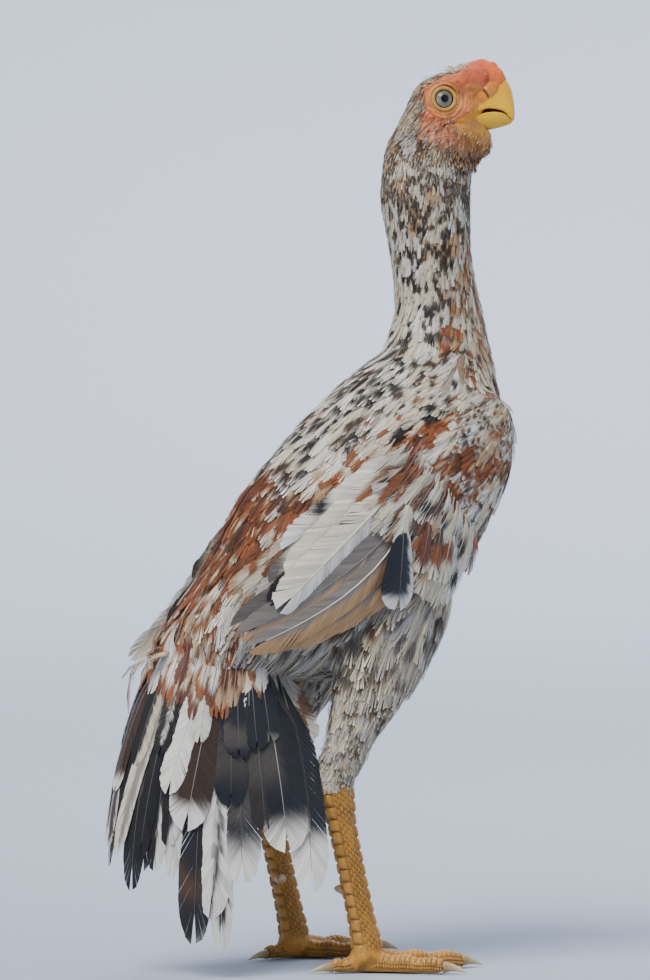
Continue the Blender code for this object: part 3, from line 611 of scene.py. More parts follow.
def horn_material(name, roughness, stretch):
    """Horn with faint growth lines and streaks."""
    made, tree, shader, colour = surface(name, Roughness=roughness, Specular_IOR_Level=0.5)
    place = node(tree, "ShaderNodeTexCoord").outputs["Object"]
    scaled = node(tree, "ShaderNodeMapping", [("Vector", place)], Scale=stretch).outputs[0]
    streaks = node(tree, "ShaderNodeTexNoise", [("Vector", scaled)], Scale=1.0, Detail=4.0).outputs["Fac"]
    patterned(tree, shader, colour, streaks, ((0.3, 0.82), (0.68, 1.0)), streaks, 0.25, 0.0004)
    return made


def eye_material():
    """Wet eye, with the painted iris and pupil under a clear coat."""
    made, tree, shader, colour = surface(
        "eye_wet", Roughness=0.3, Coat_Weight=0.3, Coat_Roughness=0.03, Specular_IOR_Level=0.15
    )
    tree.links.new(colour, shader.inputs["Base Color"])
    return made


# Surfaces that the feathers are laid on


def broadcast(*values):
    """Arrays of numbers brought to one shape."""
    return np.broadcast_arrays(*(np.asarray(value, float) for value in values))


def wing_reach(s, t):
    """Distance of a folded wing's outer face from the middle plane, at places down and up across it."""
    fall = np.where(t > 0.0, WING_FALL_UP, WING_FALL_LOW) * (t / 40.0) ** 2
    return np.interp(s, WING_PLACES, WING_OUT) - fall


def wing_sheet(side):
    """Outer face of a folded wing: place down it, place up across it and distance out, as arrays."""

    def place(s, t, out):
        s, t, out = broadcast(s, t, out)
        x = WING_ORIGIN[0] + WING_ALONG[0] * s + WING_UP[0] * t
        z = WING_ORIGIN[1] + WING_ALONG[1] * s + WING_UP[1] * t
        return np.stack([x, side * (wing_reach(s, t) + out), z], axis=-1)

    return place


def tail_spread(z):
    """How far the tail's arc has opened at a height."""
    share = np.clip((TAIL_TOP_Z - z) / (TAIL_TOP_Z - TAIL_LOW_Z), 0.0, 1.0)
    return 1.0 - (1.0 - share) ** TAIL_FLARE


def tail_sheet(side):
    """Half of the tail's fan: height, share of the way round to the side and distance out, as arrays."""
    root, tip = np.asarray(TAIL_ROOT_ARC), np.asarray(TAIL_TIP_ARC)
    q = np.linspace(0.0, 1.0, 33)[:, None]

    def place(z, share, out):
        z, share, out = broadcast(z, share, out)
        result = np.empty(z.shape + (3,))
        for index in np.ndindex(z.shape):
            first, middle, last = root + (tip - root) * tail_spread(z[index])
            arc = (1 - q) ** 2 * first + 2 * q * (1 - q) * middle + q * q * last
            steps = np.diff(arc, axis=0)
            lengths = np.concatenate([[0.0], np.cumsum(np.linalg.norm(steps, axis=1))])
            across = share[index] * lengths[-1]
            inside = min(max(across, 0.0), lengths[-1])
            here = np.array([np.interp(inside, lengths, arc[:, k]) for k in (0, 1)])
            ahead = np.array([np.interp(inside, lengths[1:], steps[:, k]) for k in (0, 1)])
            ahead /= np.linalg.norm(ahead)
            here = here + ahead * (across - inside) + np.array([-ahead[1], ahead[0]]) * out[index]
            result[index] = here[0], side * here[1], z[index]
        return result

    return place


# Skin


def oval(z, rear, front, half_width, narrowing, sides):
    """Level ring that is egg-shaped along X and narrower at the front."""
    turn = round_turn(sides)
    along = np.cos(turn)
    x = 0.5 * (rear + front) + 0.5 * (front - rear) * along
    return np.stack([x, half_width * (1.0 - narrowing * along) * np.sin(turn), np.full(sides, z)], axis=-1)


def ellipsoid(centre, radii):
    """Rings of an ellipsoid."""
    rings = []
    for turn in np.linspace(0.12, math.pi - 0.12, 12):
        ring = oval(0.0, -1.0, 1.0, 1.0, 0.0, 24) * math.sin(turn)
        ring[:, 2] = math.cos(turn)
        rings.append(ring * radii + centre)
    return rings


def bill_rings(stations, steps, under=False, sides=33):
    """Rings along the bill: an arch over a hollow palate, or the same turned over for the lower jaw."""
    turn = np.linspace(0.0, math.pi, sides)
    share = np.sin(turn) ** 0.85
    rings = []
    for x, top, low, half in smooth_rows(stations, steps):
        hollow = np.linspace(-half, half, sides // 2 + 1)[1:-1]
        rise = np.minimum(half * 0.12, 0.8) * (1.0 - (hollow / half) ** 4)
        if under:
            heights = [top - (top - low) * share, top - rise]
        else:
            heights = [low + (top - low) * share, low + rise]
        y, z = np.concatenate([half * np.cos(turn), hollow]), np.concatenate(heights)
        rings.append(np.stack([np.full(len(y), x), y, z], axis=-1))
    return rings


def head_loft(name, rings):
    """Closed object of the head from rings in the head's own frame."""
    return loft_object(name, [in_head(ring) for ring in rings])


def head_forms():
    """Head and the soft forms of its face."""
    parts = [head_loft("head_form", [oval(*row, 72) for row in smooth_rows(HEAD_LEVELS, 4)])]
    for side, _ in SIDES:
        for centre, radii in FACE_BULBS:
            parts.append(head_loft("face_form", ellipsoid(np.array([1, side, 1]) * centre, radii)))
    return parts + [head_loft("muzzle_form", bill_rings(MUZZLE, 4))]


def wing_form(side):
    """Arm of the wing under its feathers."""
    sheet = wing_sheet(side)
    x = np.linspace(-1.0, 1.0, 24)
    rings = []
    for s, low, high, depth in smooth_rows(WING_CORE, 3):
        t = 0.5 * (low + high) + 0.5 * (high - low) * x
        upper = sheet(s, t, -depth - 5.0 * x**4 - 3.0)
        rings.append(np.concatenate([upper, sheet(s, t[::-1], -depth - 26.0)]))
    return loft_object("wing_form", rings)


def toe_frame(side, number):
    """Root of a toe and its directions ahead and across."""
    heading = math.radians(TOES[number][0]) * side
    ahead = np.array([math.cos(heading), math.sin(heading), 0.0])
    return FOOT_CENTRE * [1.0, side, 1.0], ahead, np.array([-ahead[1], ahead[0], 0.0])


def toe_radius(number, share):
    """Radius of a toe at a share of its length, with the swellings of its joints."""
    thick, thin = TOES[number][2:4]
    return (thick + (thin - thick) * share) * (1.0 - 0.07 * np.cos(6 * math.pi * share))


def toe_rings(side, number):
    """Rings along a toe, with the pads of its joints swelling below."""
    root, ahead, across = toe_frame(side, number)
    turn = round_turn(28)
    rings = []
    for share in np.linspace(0.0, 1.0, 40):
        radius = toe_radius(number, share) * (1.0 if share < 0.97 else 0.86)
        centre = root + ahead * TOES[number][1] * share + np.array([0.0, 0.0, radius * TOE_REST])
        ring = centre + np.outer(np.cos(turn), across) * radius
        ring[:, 2] = np.maximum(ring[:, 2] + radius * np.sin(turn), 0.25)
        rings.append(ring)
    return rings


def leg_forms(side):
    """Shank, ankle and toes of one side."""
    shank = []
    for z, rear, front, out, half_width in smooth_rows(SHANK_LEVELS, 5):
        shank.append(oval(z, rear, front, half_width, 0.0, 36) + [0.0, side * out, 0.0])
    ankle = ellipsoid(FOOT_CENTRE * [1.0, side, 1.0] + [-0.5, 0.0, 8.2], (9.0, 8.6, 8.0))
    toes = [toe_rings(side, number) for number in range(len(TOES))]
    return [loft_object("leg_form", rings) for rings in (shank, ankle, *toes)]


def bareness(points):
    """Share of bare skin at points of the head: 0 under feathers, 1 on the open face."""
    x, _, z = to_head(points).T
    edge = np.interp(z, FACE_EDGE_Z, FACE_EDGE_X) + 4.0 * rough(points, 4.0, 31.0)
    low = z + 6.0 * rough(points, 4.0, 32.0) + 0.25 * (x - 10.0)
    return step(-2.5, 3.0, x - edge) * step(434.5, 442.0, low)


def skin_depth(points):
    """How far the skin lies inside the CAD model's outer surface."""
    z = points[:, 2]
    feathered = 1.0 - bareness(points) * step(430.0, 442.0, z)
    depth = 3.6 * step(108.0, 122.0, z) * (1.0 - 0.5 * step(330.0, 365.0, z))
    return depth * feathered + 1.4 * step(440.0, 470.0, z) * feathered


def mirrored(vector, head):
    """A vector of the left side, turned to the side of each point of the head."""
    ones = np.ones(len(head))
    return vector * np.stack([ones, np.sign(head[:, 1]), ones], axis=1)


def socket_depth(points):
    """How far the skin sinks under the lids round each eyeball."""
    head = to_head(points)
    gone = head - mirrored(EYE_PLACE, head)
    gaze = unit(mirrored(EYE_GAZE, head))
    aside = np.linalg.norm(gone - gaze * (gone * gaze).sum(axis=1, keepdims=True), axis=1)
    return 2.6 * step(8.2, 6.2, aside) * step(436.0, 444.0, points[:, 2])


def face_relief(points):
    """Folds round the eye, behind the gape and over the cheek, and fine roughness."""
    head = to_head(points)
    near = np.linalg.norm(head - mirrored(EYE_PLACE, head), axis=1)
    folds = 0.35 * np.sin(near * 2.6) * bell((near - 10.0) / 3.0)
    bumps = rough(points, 2.2) * 0.5 + rough(points, 5.0, 1.0) * 0.7
    gape = -1.1 * bell((head[:, 0] - 17.0) / 5.0, head[:, 2] - 452.2)
    return step(441.0, 447.0, points[:, 2]) * (folds + bumps + gape)


def refined(highest, lowest):
    """Edit of a mesh that halves its faces below one height and above another."""

    def change(edit):
        edges = set()
        for face in edit.faces:
            height = face.calc_center_median().z / MM
            if height < highest or height > lowest:
                edges.update(face.edges)
        bmesh.ops.subdivide_edges(edit, edges=list(edges), cuts=1, use_grid_fill=True)
        bmesh.ops.triangulate(edit, faces=[face for face in edit.faces if len(face.verts) > 4])

    return change


def build_skin(material):
    """One skin over head, neck, body, wing arms and legs."""
    covered = ("neck", "torso", "thigh_R", "thigh_L")
    parts = [linked("form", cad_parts[name].data.copy()) for name in covered]
    parts += head_forms()
    tail_root = [oval(z, x - reach, x + reach * 0.9, half, 0.0, 36) for x, z, reach, half in TAIL_ROOT]
    parts.append(loft_object("tail_form", tail_root))
    for side, _ in SIDES:
        parts += [wing_form(side), *leg_forms(side)]
    skin = fused("skin", parts, SKIN_VOXEL, SKIN_SMOOTHING)
    for highest, lowest in ((112.0, 436.0), (0.0, 440.0)):
        modified(reshaped(skin, refined(highest, lowest)), "SMOOTH", iterations=SKIN_SMOOTHING)
    points = points_of(skin)
    points -= normals_of(skin) * skin_depth(points)[:, None]
    points += normals_of(skin) * face_relief(points)[:, None]
    points -= normals_of(skin) * socket_depth(points)[:, None]
    points[:, 2] = np.maximum(points[:, 2], 0.0)
    put_points(skin, points)
    skin.data.polygons.foreach_set("use_smooth", np.ones(len(skin.data.polygons), dtype=bool))
    paint(skin, skin_colours(points_of(skin)))
    finish_piece(skin, material)
    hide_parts("head", "neck", "torso", "thigh_R", "thigh_L", "shank_R", "shank_L", "foot_R", "foot_L")
    return skin


def skin_colours(points):
    """Markings of the skin: face, throat, legs, and the ground colours of the plumage, darkened as painted
    shade between the feathers.
    """
    head = to_head(points)
    x, _, z = head.T
    height = points[:, 2]
    bill_x, _, bill_edge, _ = zip(*BILL_UPPER)
    wide = np.interp(x, (14.0, 20.0, 27.0), (0.7, 1.6, 3.0))
    gape = step(wide + 0.7, wide - 0.3, np.abs(z - np.interp(x, bill_x, bill_edge))) * step(14.0, 16.0, x)
    around_eye = np.linalg.norm((head - EYE_PLACE) * [1.0, 0.0, 1.0], axis=1)
    muzzle = step(16.0, 26.0, x) * step(478.0, 470.0, z)
    throat = step(8.0, 22.0, x + 0.5 * (z - 448.0)) * step(455.0, 450.0, z)
    face = layered(
        mixed(FACE_ORANGE, FACE_RED, step(0.35, 0.65, noise3(points, 7.0, 2.0))) * 1.06,
        (MUZZLE_ORANGE, muzzle),
        (CHEEK_PINK, 0.8 * step(456.0, 448.0, z)),
        (THROAT_OCHRE, throat),
        (GAPE_YELLOW, gape),
        (LID_OCHRE, 0.6 * step(13.0, 9.0, around_eye)),
    )
    face = face * (1.0 - 0.25 * step(0.62, 0.85, noise3(points, 1.3, 33.0)))[:, None]
    leg = mixed(LEG_OCHRE, LEG_OCHRE * 0.55, step(0.5, 0.8, noise3(points, 4.0, 3.0)))
    leg = mixed(leg, SOLE_TAN, 0.6 * step(2.0, 0.5, height))
    return layered(
        # Under the feathers the skin takes the plumage's mean colour, darkened as painted shade in the gaps
        ground_colours(points) * 0.55,
        (face, step(436.0, 444.0, height)),
        (leg, step(109.0, 104.0, height)),
    )


# Places on the body


def body_axis(points):
    """Place down the body from the neck's root to the tail, and height above its middle line."""
    back, down = 65.0 - points[:, 0], 331.0 - points[:, 2]
    return back * 0.70 + down * 0.71, back * 0.71 - down * 0.70


def spine_place(points):
    """Place down the spine, below zero on the neck and head."""
    z = points[:, 2]
    return np.where(z > NECK_ROOT, NECK_ROOT - z - 20.0, body_axis(points)[0])


def ground_colours(points):
    """Mean colour of the plumage over the body."""
    along, above = body_axis(points)
    patches = noise3(points, 26.0, 4.0)
    neck = mixed(CREAM * 0.8, TAN, step(0.55, 0.8, patches))
    belly = mixed(GREY * 1.3, WHITE * 0.7, patches)
    body = mixed(belly, mixed(RUST, MAHOGANY, patches), step(-5.0, 25.0, above))
    return mixed(neck, body, step(20.0, 60.0, along))


def skin_map(points):
    """Place of body points on an unwrap of the skin: round the spine and down it, legs apart."""
    x, y, z = points.T
    centre_x = np.interp(z, (331.0, 350.0, 381.0, 433.0), (65.0, 66.5, 62.6, 60.6))
    turn = np.arctan2(y, np.where(z > NECK_ROOT, centre_x - x, body_axis(points)[1]))
    u = 0.04 + 0.62 * (turn / (2 * math.pi) + 0.5)
    v = 0.96 - 0.92 * (spine_place(points) + 170.0) / 430.0
    leg_turn = np.arctan2(y - np.sign(y) * FOOT_CENTRE[1], x) / (2 * math.pi)
    leg_u = 0.70 + 0.12 * (leg_turn + 0.5) + 0.14 * (y > 0)
    leg_v = 0.02 + 0.22 * np.clip(z / LEG_TOP, 0, 1) + 0.0006 * np.abs(x)
    return np.where((z < LEG_TOP)[:, None], np.stack([leg_u, leg_v], axis=-1), np.stack([u, v], axis=-1))


def on_wing(points):
    """Whether points lie on the arm of a wing, and their places down the wing."""
    flat = points[:, (0, 2)] - WING_ORIGIN
    s, t = flat @ WING_ALONG, flat @ WING_UP
    outside = np.abs(points[:, 1]) > wing_reach(s, t) - 11.0
    return outside & (s > -8.0) & (s < 125.0) & (np.abs(t) < 42.0), s


def photo_places(points):
    """Places in the photo, in pixels, of points of the right side or mirrored from the left one."""
    near = points.copy()
    near[:, 1] = -np.abs(points[:, 1])
    gone = near + SHIFT - PHOTO_TARGET
    scale = PHOTO_SCALE / MM
    depth = 1.0 + gone @ PHOTO_AWAY / (CAMERA_DISTANCE / MM)
    return PHOTO_MIDDLE[0] + gone @ PHOTO_SIDE / scale / depth, PHOTO_MIDDLE[1] - gone[:, 2] / scale / depth


# Feathers


def vane_grid(groups, rows, columns):
    """Grid of one feather: a strip of barbs for each group on each side of the shaft."""
    s, g, r, c = (axis.ravel() for axis in np.indices((2, groups, rows + 1, columns + 1)))
    quads = copied_faces(grid_faces(rows, columns), 2 * groups, (rows + 1) * (columns + 1))
    right = len(quads) // 2
    quads[:right] = quads[:right, ::-1].copy()
    return {
        "side": 2 * s - 1, "group": g, "barb": (g + r / rows) / groups, "inner": r / rows - 0.5,
        "out": c / columns, "quads": quads, "groups": groups,
    }


def feather_outline(barb, round_from, rise_to):
    """Share of the half width that the barbs rooted at a place along the shaft reach."""
    rise = np.clip(barb / rise_to, 0.03, 1.0) ** 0.6
    fall = np.sqrt(np.clip(1.0 - (np.maximum(barb - round_from, 0.0) / (1.0 - round_from)) ** 2, 0.02, 1.0))
    return rise * fall


def along_lines(values, place):
    """Values of each feather's stations at places along it, from 0 to 1."""
    count = values.shape[1] - 1
    where = np.clip(place, 0.0, 1.0) * count
    low = np.minimum(where.astype(int), count - 1)
    part = (where - low)[..., None]
    rows = np.arange(values.shape[0])[:, None]
    return values[rows, low] * (1 - part) + values[rows, low + 1] * part


# Form and marking of a plain feather. The mark lies from v0 to v1 along it and from u0 to u1 across it,
# and the tip's colour starts at vt
PLAIN_FEATHER = {
    "half": 4.0, "sweep": 0.22, "pinch": 0.5, "split": 0.5, "fray": 1.0, "streak": 0.14, "camber": 0.25,
    "ruffle": 0.25, "round": 0.6, "rise": 0.25, "narrow": 1.0, "ground": CREAM, "mark": BROWN, "tip": WHITE,
    "v0": 2.0, "v1": BEYOND, "u0": -2.0, "u1": 2.0, "vt": BEYOND, "soft": 0.07, "down": 0.6,
    "uv": (0.0, 0.0), "patch": 0.003,
}


def looks(count, **changes):
    """Form and marking of a batch of feathers, as rows: the plain feather's with changes."""
    look = {}
    for key, plain in PLAIN_FEATHER.items():
        value = np.asarray(changes.get(key, plain), float)
        look[key] = np.broadcast_to(value, (count,) + np.shape(plain)).copy()
    return look


def feathers(name, grid, lines, ups, look, material, aspect=1.0):
    """Mesh of a batch of feathers, laid along lines whose stations have a direction up from the body."""
    count = len(lines)
    ahead = unit(np.gradient(lines, axis=1))
    across = unit(np.cross(ups, ahead))
    ups = np.cross(ahead, across)
    length = np.linalg.norm(np.diff(lines, axis=1), axis=2).sum(axis=1)[:, None]
    side, barb, inner, out = (grid[key] for key in ("side", "barb", "inner", "out"))

    def drawn(draw):
        return draw(size=(count, 2, grid["groups"]))[:, (side + 1) // 2, grid["group"]]

    spread, lift, shade = (drawn(RNG.normal) for _ in range(3))
    split = drawn(RNG.random) ** 16
    col = {key: value[:, None] for key, value in look.items() if value.ndim == 1}
    sweep, camber, ruffle, fray, soft = (col[key] for key in ("sweep", "camber", "ruffle", "fray", "soft"))
    parting = np.minimum(col["pinch"] + col["split"] * split, 0.95)
    place = barb * (1.0 - sweep) + sweep * out
    place = place - parting * out**2 * inner / grid["groups"] + 0.02 * fray * spread * out
    width = col["half"] * np.where(side > 0, 1.0, col["narrow"])
    width = width * feather_outline(barb, col["round"], col["rise"]) * (1.0 + 0.10 * fray * spread)
    height = -camber * width * out**2 + ruffle * lift * out
    points = along_lines(lines, place) + along_lines(across, place) * (side * width * out)[..., None]
    points += along_lines(ups, place) * height[..., None]
    points += ahead[:, -1][:, None] * (np.maximum(place - 1.0, 0.0) * length)[..., None]
    cross = side * out
    ragged = place + np.minimum(fray, 1.0) * (0.06 * spread * out + 0.03 * shade)
    sideways = cross + 0.08 * spread

    def edge(key, soft, value):
        return step(col[key] - soft, col[key] + soft, value)

    marked = edge("v0", soft, ragged + 0.06 * out) * edge("v1", -soft, ragged)
    marked = marked * edge("u0", 0.15, sideways) * edge("u1", -0.15, sideways)
    ground, mark, tip = (look[key][:, None] for key in ("ground", "mark", "tip"))
    colours = layered(ground, (mark, marked), (tip, edge("vt", soft, ragged)))
    downy = (0.45 * col["down"]) * step(0.35, 0.0, place)
    colours = mixed(colours, colours.mean(axis=2, keepdims=True) * 0.8, downy)
    colours = colours * np.clip(1.0 + col["streak"] * shade, 0.5, 1.35)[..., None]
    # Painted shade towards the vane's outer edges, strongest near the root
    colours = colours * (1.0 - 0.12 * out * (1 - barb))[..., None]
    made = make(name, points.reshape(-1, 3), copied_faces(grid["quads"], count, len(side)))
    paint(made, colours.reshape(-1, 3))
    vane = np.stack([cross * 1.2 + 7.0 * RNG.random((count, 1)), barb * length / 1.1, lift * 0.3], axis=-1)
    layer = made.data.attributes.new("vane", "FLOAT_VECTOR", "POINT")
    layer.data.foreach_set("vector", vane.astype(np.float32).ravel())
    u = look["uv"][:, 0:1] + 0.5 * col["patch"] * cross
    v = look["uv"][:, 1:2] + col["patch"] * aspect * (np.clip(place, 0, 1.1) - 0.5)
    put_uv(made, np.stack([u, v], axis=-1).reshape(-1, 2))
    finish_piece(made, material)
    return made


def put_uv(made, uv):
    """Gives a mesh the map OFBake from a place for each point."""
    layer = made.data.uv_layers.new(name="OFBake")
    corners = np.empty(len(made.data.loops), dtype=np.int32)
    made.data.loops.foreach_get("vertex_index", corners)
    layer.data.foreach_set("uv", uv[corners].astype(np.float32).ravel())


def finish_piece(made, material):
    """Gives a piece its material, body and material slot."""
    made.data.materials.clear()
    made.data.materials.append(material)
    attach(made, "root")


class Ground:
    """Skin surface on which feathers are rooted and laid."""

    def __init__(self, skin):
        mesh = skin.data
        mesh.calc_loop_triangles()
        corners = np.empty(len(mesh.loop_triangles) * 3, dtype=np.int32)
        mesh.loop_triangles.foreach_get("vertices", corners)
        points = points_of(skin)
        self.corners = points[corners.reshape(-1, 3)]
        self.tree = BVHTree.FromPolygons(points.tolist(), corners.reshape(-1, 3).tolist())

    def nearest(self, points):
        """Nearest surface points and their normals."""
        found = [self.tree.find_nearest(point)[:2] for point in points.tolist()]
        return np.array([spot for spot, _ in found]), np.array([normal for _, normal in found])

    def scatter(self, count, spacing, wanted):
        """Evenly spread roots: spacing gives the distance kept at a point, wanted which points may stay."""
        a, b, c = self.corners.transpose(1, 0, 2)
        areas = 0.5 * np.linalg.norm(np.cross(b - a, c - a), axis=1)
        weights = areas / spacing(self.corners.mean(axis=1)) ** 2
        picks = RNG.choice(len(weights), size=count, p=weights / weights.sum())
        share = RNG.random((2, count))
        flip = share.sum(axis=0) > 1
        share[:, flip] = 1 - share[:, flip]
        a, b, c = a[picks], b[picks], c[picks]
        spots = a + (b - a) * share[0][:, None] + (c - a) * share[1][:, None]
        spots = spots[wanted(spots)]
        gaps = spacing(spots)
        tree = KDTree(len(spots))
        for number, spot in enumerate(spots.tolist()):
            tree.insert(spot, number)
        tree.balance()
        free = np.ones(len(spots), dtype=bool)
        chosen = []
        for number, spot in enumerate(spots.tolist()):
            if free[number]:
                chosen.append(number)
                for _, near, _ in tree.find_range(spot, gaps[number]):
                    free[near] = False
        return spots[chosen]

    def lay(self, roots, length, low, high, yaw, stations=6):
        """Lines along the surface that follow the body's flow from the roots and rise from low to high."""
        here, up = self.nearest(roots)
        turn = RNG.normal(size=(len(roots), 1)) * yaw
        lines, ups = [], []
        for number in range(stations):
            lines.append(here + up * (low + (high - low) * (number / (stations - 1)))[:, None])
            ups.append(up)
            way = body_flow(here)
            way = unit(way - up * (way * up).sum(axis=1, keepdims=True))
            way = unit(way + np.cross(up, way) * turn)
            moved = here + way * (length / (stations - 1))[:, None]
            spots, normals = self.nearest(moved)
            gap = np.linalg.norm(moved - spots, axis=1, keepdims=True)
            here = spots + (moved - spots) * np.clip(1.0 - 2.0 / np.maximum(gap, 1e-6), 0.0, 1.0)
            up = unit(up * 0.5 + normals * 0.5)
            rump = here[:, 0] < RUMP_FROM
            up[rump, 2] = np.maximum(up[rump, 2], 0.0)
            up[rump, 0] -= 0.4
            up = unit(up)
        return np.stack(lines, axis=1), np.stack(ups, axis=1)


# Small feathers of the body


def body_flow(points):
    """Lie of the feathers: down the neck, back and down the body, down the thighs, back over the head."""
    along, above = body_axis(points)
    x, y, z = points.T
    body = np.array([-0.72, 0.0, -0.70]) + np.outer(0.25 * step(-20.0, -60.0, above), [1.0, 0.0, -1.0])
    way = layered(
        (-0.12, 0.0, -1.0),
        (body, step(-5.0, 45.0, along)),
        ((-0.35, 0.0, -0.94), step(160.0, 215.0, along)),
    )
    down_wing = mixed((WING_ALONG[0], 0.0, WING_ALONG[1]), way, 0.15)
    way = np.where(on_wing(points)[0][:, None], down_wing, way)
    thigh = (np.abs(y) > 16.0) & (z < 178.0) & (x > -45.0) & (along < 205.0) & (above < 0.0)
    way = np.where(thigh[:, None], (-0.30, 0.0, -0.95), way)
    over = np.array([-math.cos(HEAD_TURN), -math.sin(HEAD_TURN), 0.0]) * 0.9
    over = over + np.array([0.0, 0.0, -1.0]) * (0.25 + 0.75 * step(478.0, 455.0, z))[:, None]
    over = over + unit(points - in_head((2.0, 0.0, 452.0))) * 0.1
    return unit(mixed(way, over, step(432.0, 448.0, z)))


# Sizes of the small feathers at places down the spine, down the wing and up the thigh
SPINE_KNOTS = (-150.0, -118.0, -80.0, -30.0, 0.0, 40.0, 90.0, 150.0, 190.0, 220.0)
WING_KNOTS = (0.0, 30.0, 90.0)
THIGH_KNOTS = (104.0, 125.0, 175.0)
FEATHER_SIZES = (
    ((4.8, 6.0, 9.5, 14.0, 19.0, 26.0, 29.0, 38.0, 50.0, 50.0), (9.0, 14.0, 24.0), (8.0, 13.0, 21.0)),
    ((0.42, 0.55, 0.95, 1.75, 2.5, 3.1, 3.5, 3.6, 3.6, 3.6), (1.5, 2.2, 3.3), (1.2, 2.0, 3.2)),
    ((0.85, 1.0, 1.45, 2.2, 2.9, 3.6, 4.0, 4.0, 3.9, 3.9), (1.8, 2.5, 3.7), (1.5, 2.3, 3.7)),
)


def feather_size(points):
    """Length, half width and spacing of the small feathers at points of the skin."""
    wing, s = on_wing(points)
    thigh = (points[:, 2] < 175.0) & (points[:, 0] > -58.0) & ~wing
    sizes = []
    for spine_row, wing_row, thigh_row in FEATHER_SIZES:
        size = np.interp(spine_place(points), SPINE_KNOTS, spine_row)
        size = np.where(wing, np.interp(s, WING_KNOTS, wing_row), size)
        sizes.append(np.where(thigh, np.interp(points[:, 2], THIGH_KNOTS, thigh_row), size))
    return sizes


def plumage_wanted(points):
    """Which points of the skin carry small feathers."""
    keep = RNG.random(len(points)) > bareness(points)
    wing, s = on_wing(points)
    return keep & (points[:, 2] > 104.0) & ~(wing & (s > 98.0))


def pick(choices, chances, count):
    """Colours drawn from a few by chance, one for each row."""
    order = RNG.choice(len(choices), size=count, p=np.asarray(chances) / np.sum(chances))
    return np.asarray(choices)[order]


def pick_one(*choices):
    """One colour drawn from a few with their chances."""
    colours, chances = zip(*choices)
    return pick(colours, chances, 1)[0]


def style(grounds, marks, marked, span=(0.6, 0.92), across=(-2.0, 2.0), tip=CREAM, tipped=0.0, tip_from=0.9):
    """Markings of a kind of feather: colours with their chances, share that is marked, and where."""
    return {"grounds": grounds, "marks": marks, "marked": marked, "span": span, "across": across,
            "tip": tip, "tipped": tipped, "tip_from": tip_from}


STYLES = {
    "crown": style(((CREAM * 0.85, 4), (TAN, 2), (BROWN * 1.4, 2), (WHITE * 0.8, 2)), ((BROWN, 1),), 0.5),
    "neck_top": style(((CREAM, 7), (WHITE * 0.9, 3), (TAN * 1.3, 3)),
                      ((BROWN, 5), (BLACK * 1.8, 4), (TAN * 0.6, 1)), 0.52, (0.50, 1.3)),
    "neck": style(((CREAM, 6), (WHITE, 4), (TAN * 1.2, 2)),
                  ((BROWN, 4), (BLACK * 1.8, 5), (TAN * 0.5, 1)), 0.46, (0.55, 1.3)),
    "neck_low": style(((WHITE, 6), (CREAM * 0.95, 4)), ((BLACK * 1.8, 4), (BROWN, 3)),
                      0.30, (0.55, 1.3), (-1.4, 1.4)),
    "neck_front": style(((CREAM * 0.9, 4), (TAN * 1.1, 3), (RUST * 1.6, 2), (WHITE * 0.85, 3)),
                        ((BROWN, 3), (RUST * 1.2, 3)), 0.35, (0.55, 0.92)),
    "cape": style(((WHITE, 7), (CREAM * 0.95, 3)), ((BLACK * 1.6, 5), (BROWN * 0.8, 2)),
                  0.60, (0.50, 0.90), (-1.0, 1.0)),
    "rust": style(((RUST, 5), (RUST * 1.5, 4), (MAHOGANY * 1.2, 3)),
                  ((MAHOGANY * 0.8, 2), (TAN, 3), (CREAM * 0.9, 1)),
                  0.45, (0.4, 0.8), (-0.5, 0.5), CREAM, 0.16),
    "saddle": style(((RUST * 1.2, 5), (WHITE * 0.8, 3), (TAN, 2), (MAHOGANY * 1.2, 2), (CREAM * 0.8, 2)),
                    ((WHITE * 0.85, 3), (MAHOGANY, 2), (RUST, 2)), 0.5, (0.55, 0.78), (-2, 2), CREAM, 0.35),
    "white": style(((WHITE, 6), (CREAM * 0.95, 2), (GREY * 1.9, 1)), ((BLACK, 2), (RUST, 2), (TAN, 1)),
                   0.15, (0.7, 0.9)),
    "banded": style(((RUST * 1.25, 6), (TAN * 0.9, 2), (MAHOGANY * 1.3, 1)),
                    ((CREAM * 0.95, 5), (GREY * 1.6, 1)), 0.75, (0.42, 0.70), (-0.8, 0.8), CREAM, 0.55, 0.93),
    "mottle": style(((WHITE, 4), (CREAM, 6), (TAN * 1.2, 1)),
                    ((BROWN, 3), (BLACK * 1.4, 2), (RUST * 1.1, 4)), 0.44, (0.5, 0.92), (-0.8, 0.8)),
    "dark": style(((BLACK * 1.5, 4), (BROWN, 2)), ((CREAM, 1),), 0.25, (0.8, 1.3)),
    "edge": style(((CREAM, 6), (WHITE, 3), (BLACK * 1.6, 2)), ((BLACK, 1),), 0.12),
    "belly": style(((GREY * 1.5, 4), (CREAM * 0.85, 5), (TAN, 1), (WHITE * 0.8, 3)),
                   ((BROWN * 1.2, 4), (GREY * 0.3, 4)), 0.50, (0.55, 0.88), (-2, 2), CREAM * 0.9, 0.4),
    "breast": style(((CREAM * 0.9, 5), (WHITE * 0.9, 4), (TAN, 2)),
                    ((BROWN, 3), (RUST * 1.2, 2), (BLACK * 1.5, 2)), 0.42, (0.55, 0.9), (-0.8, 0.8)),
}

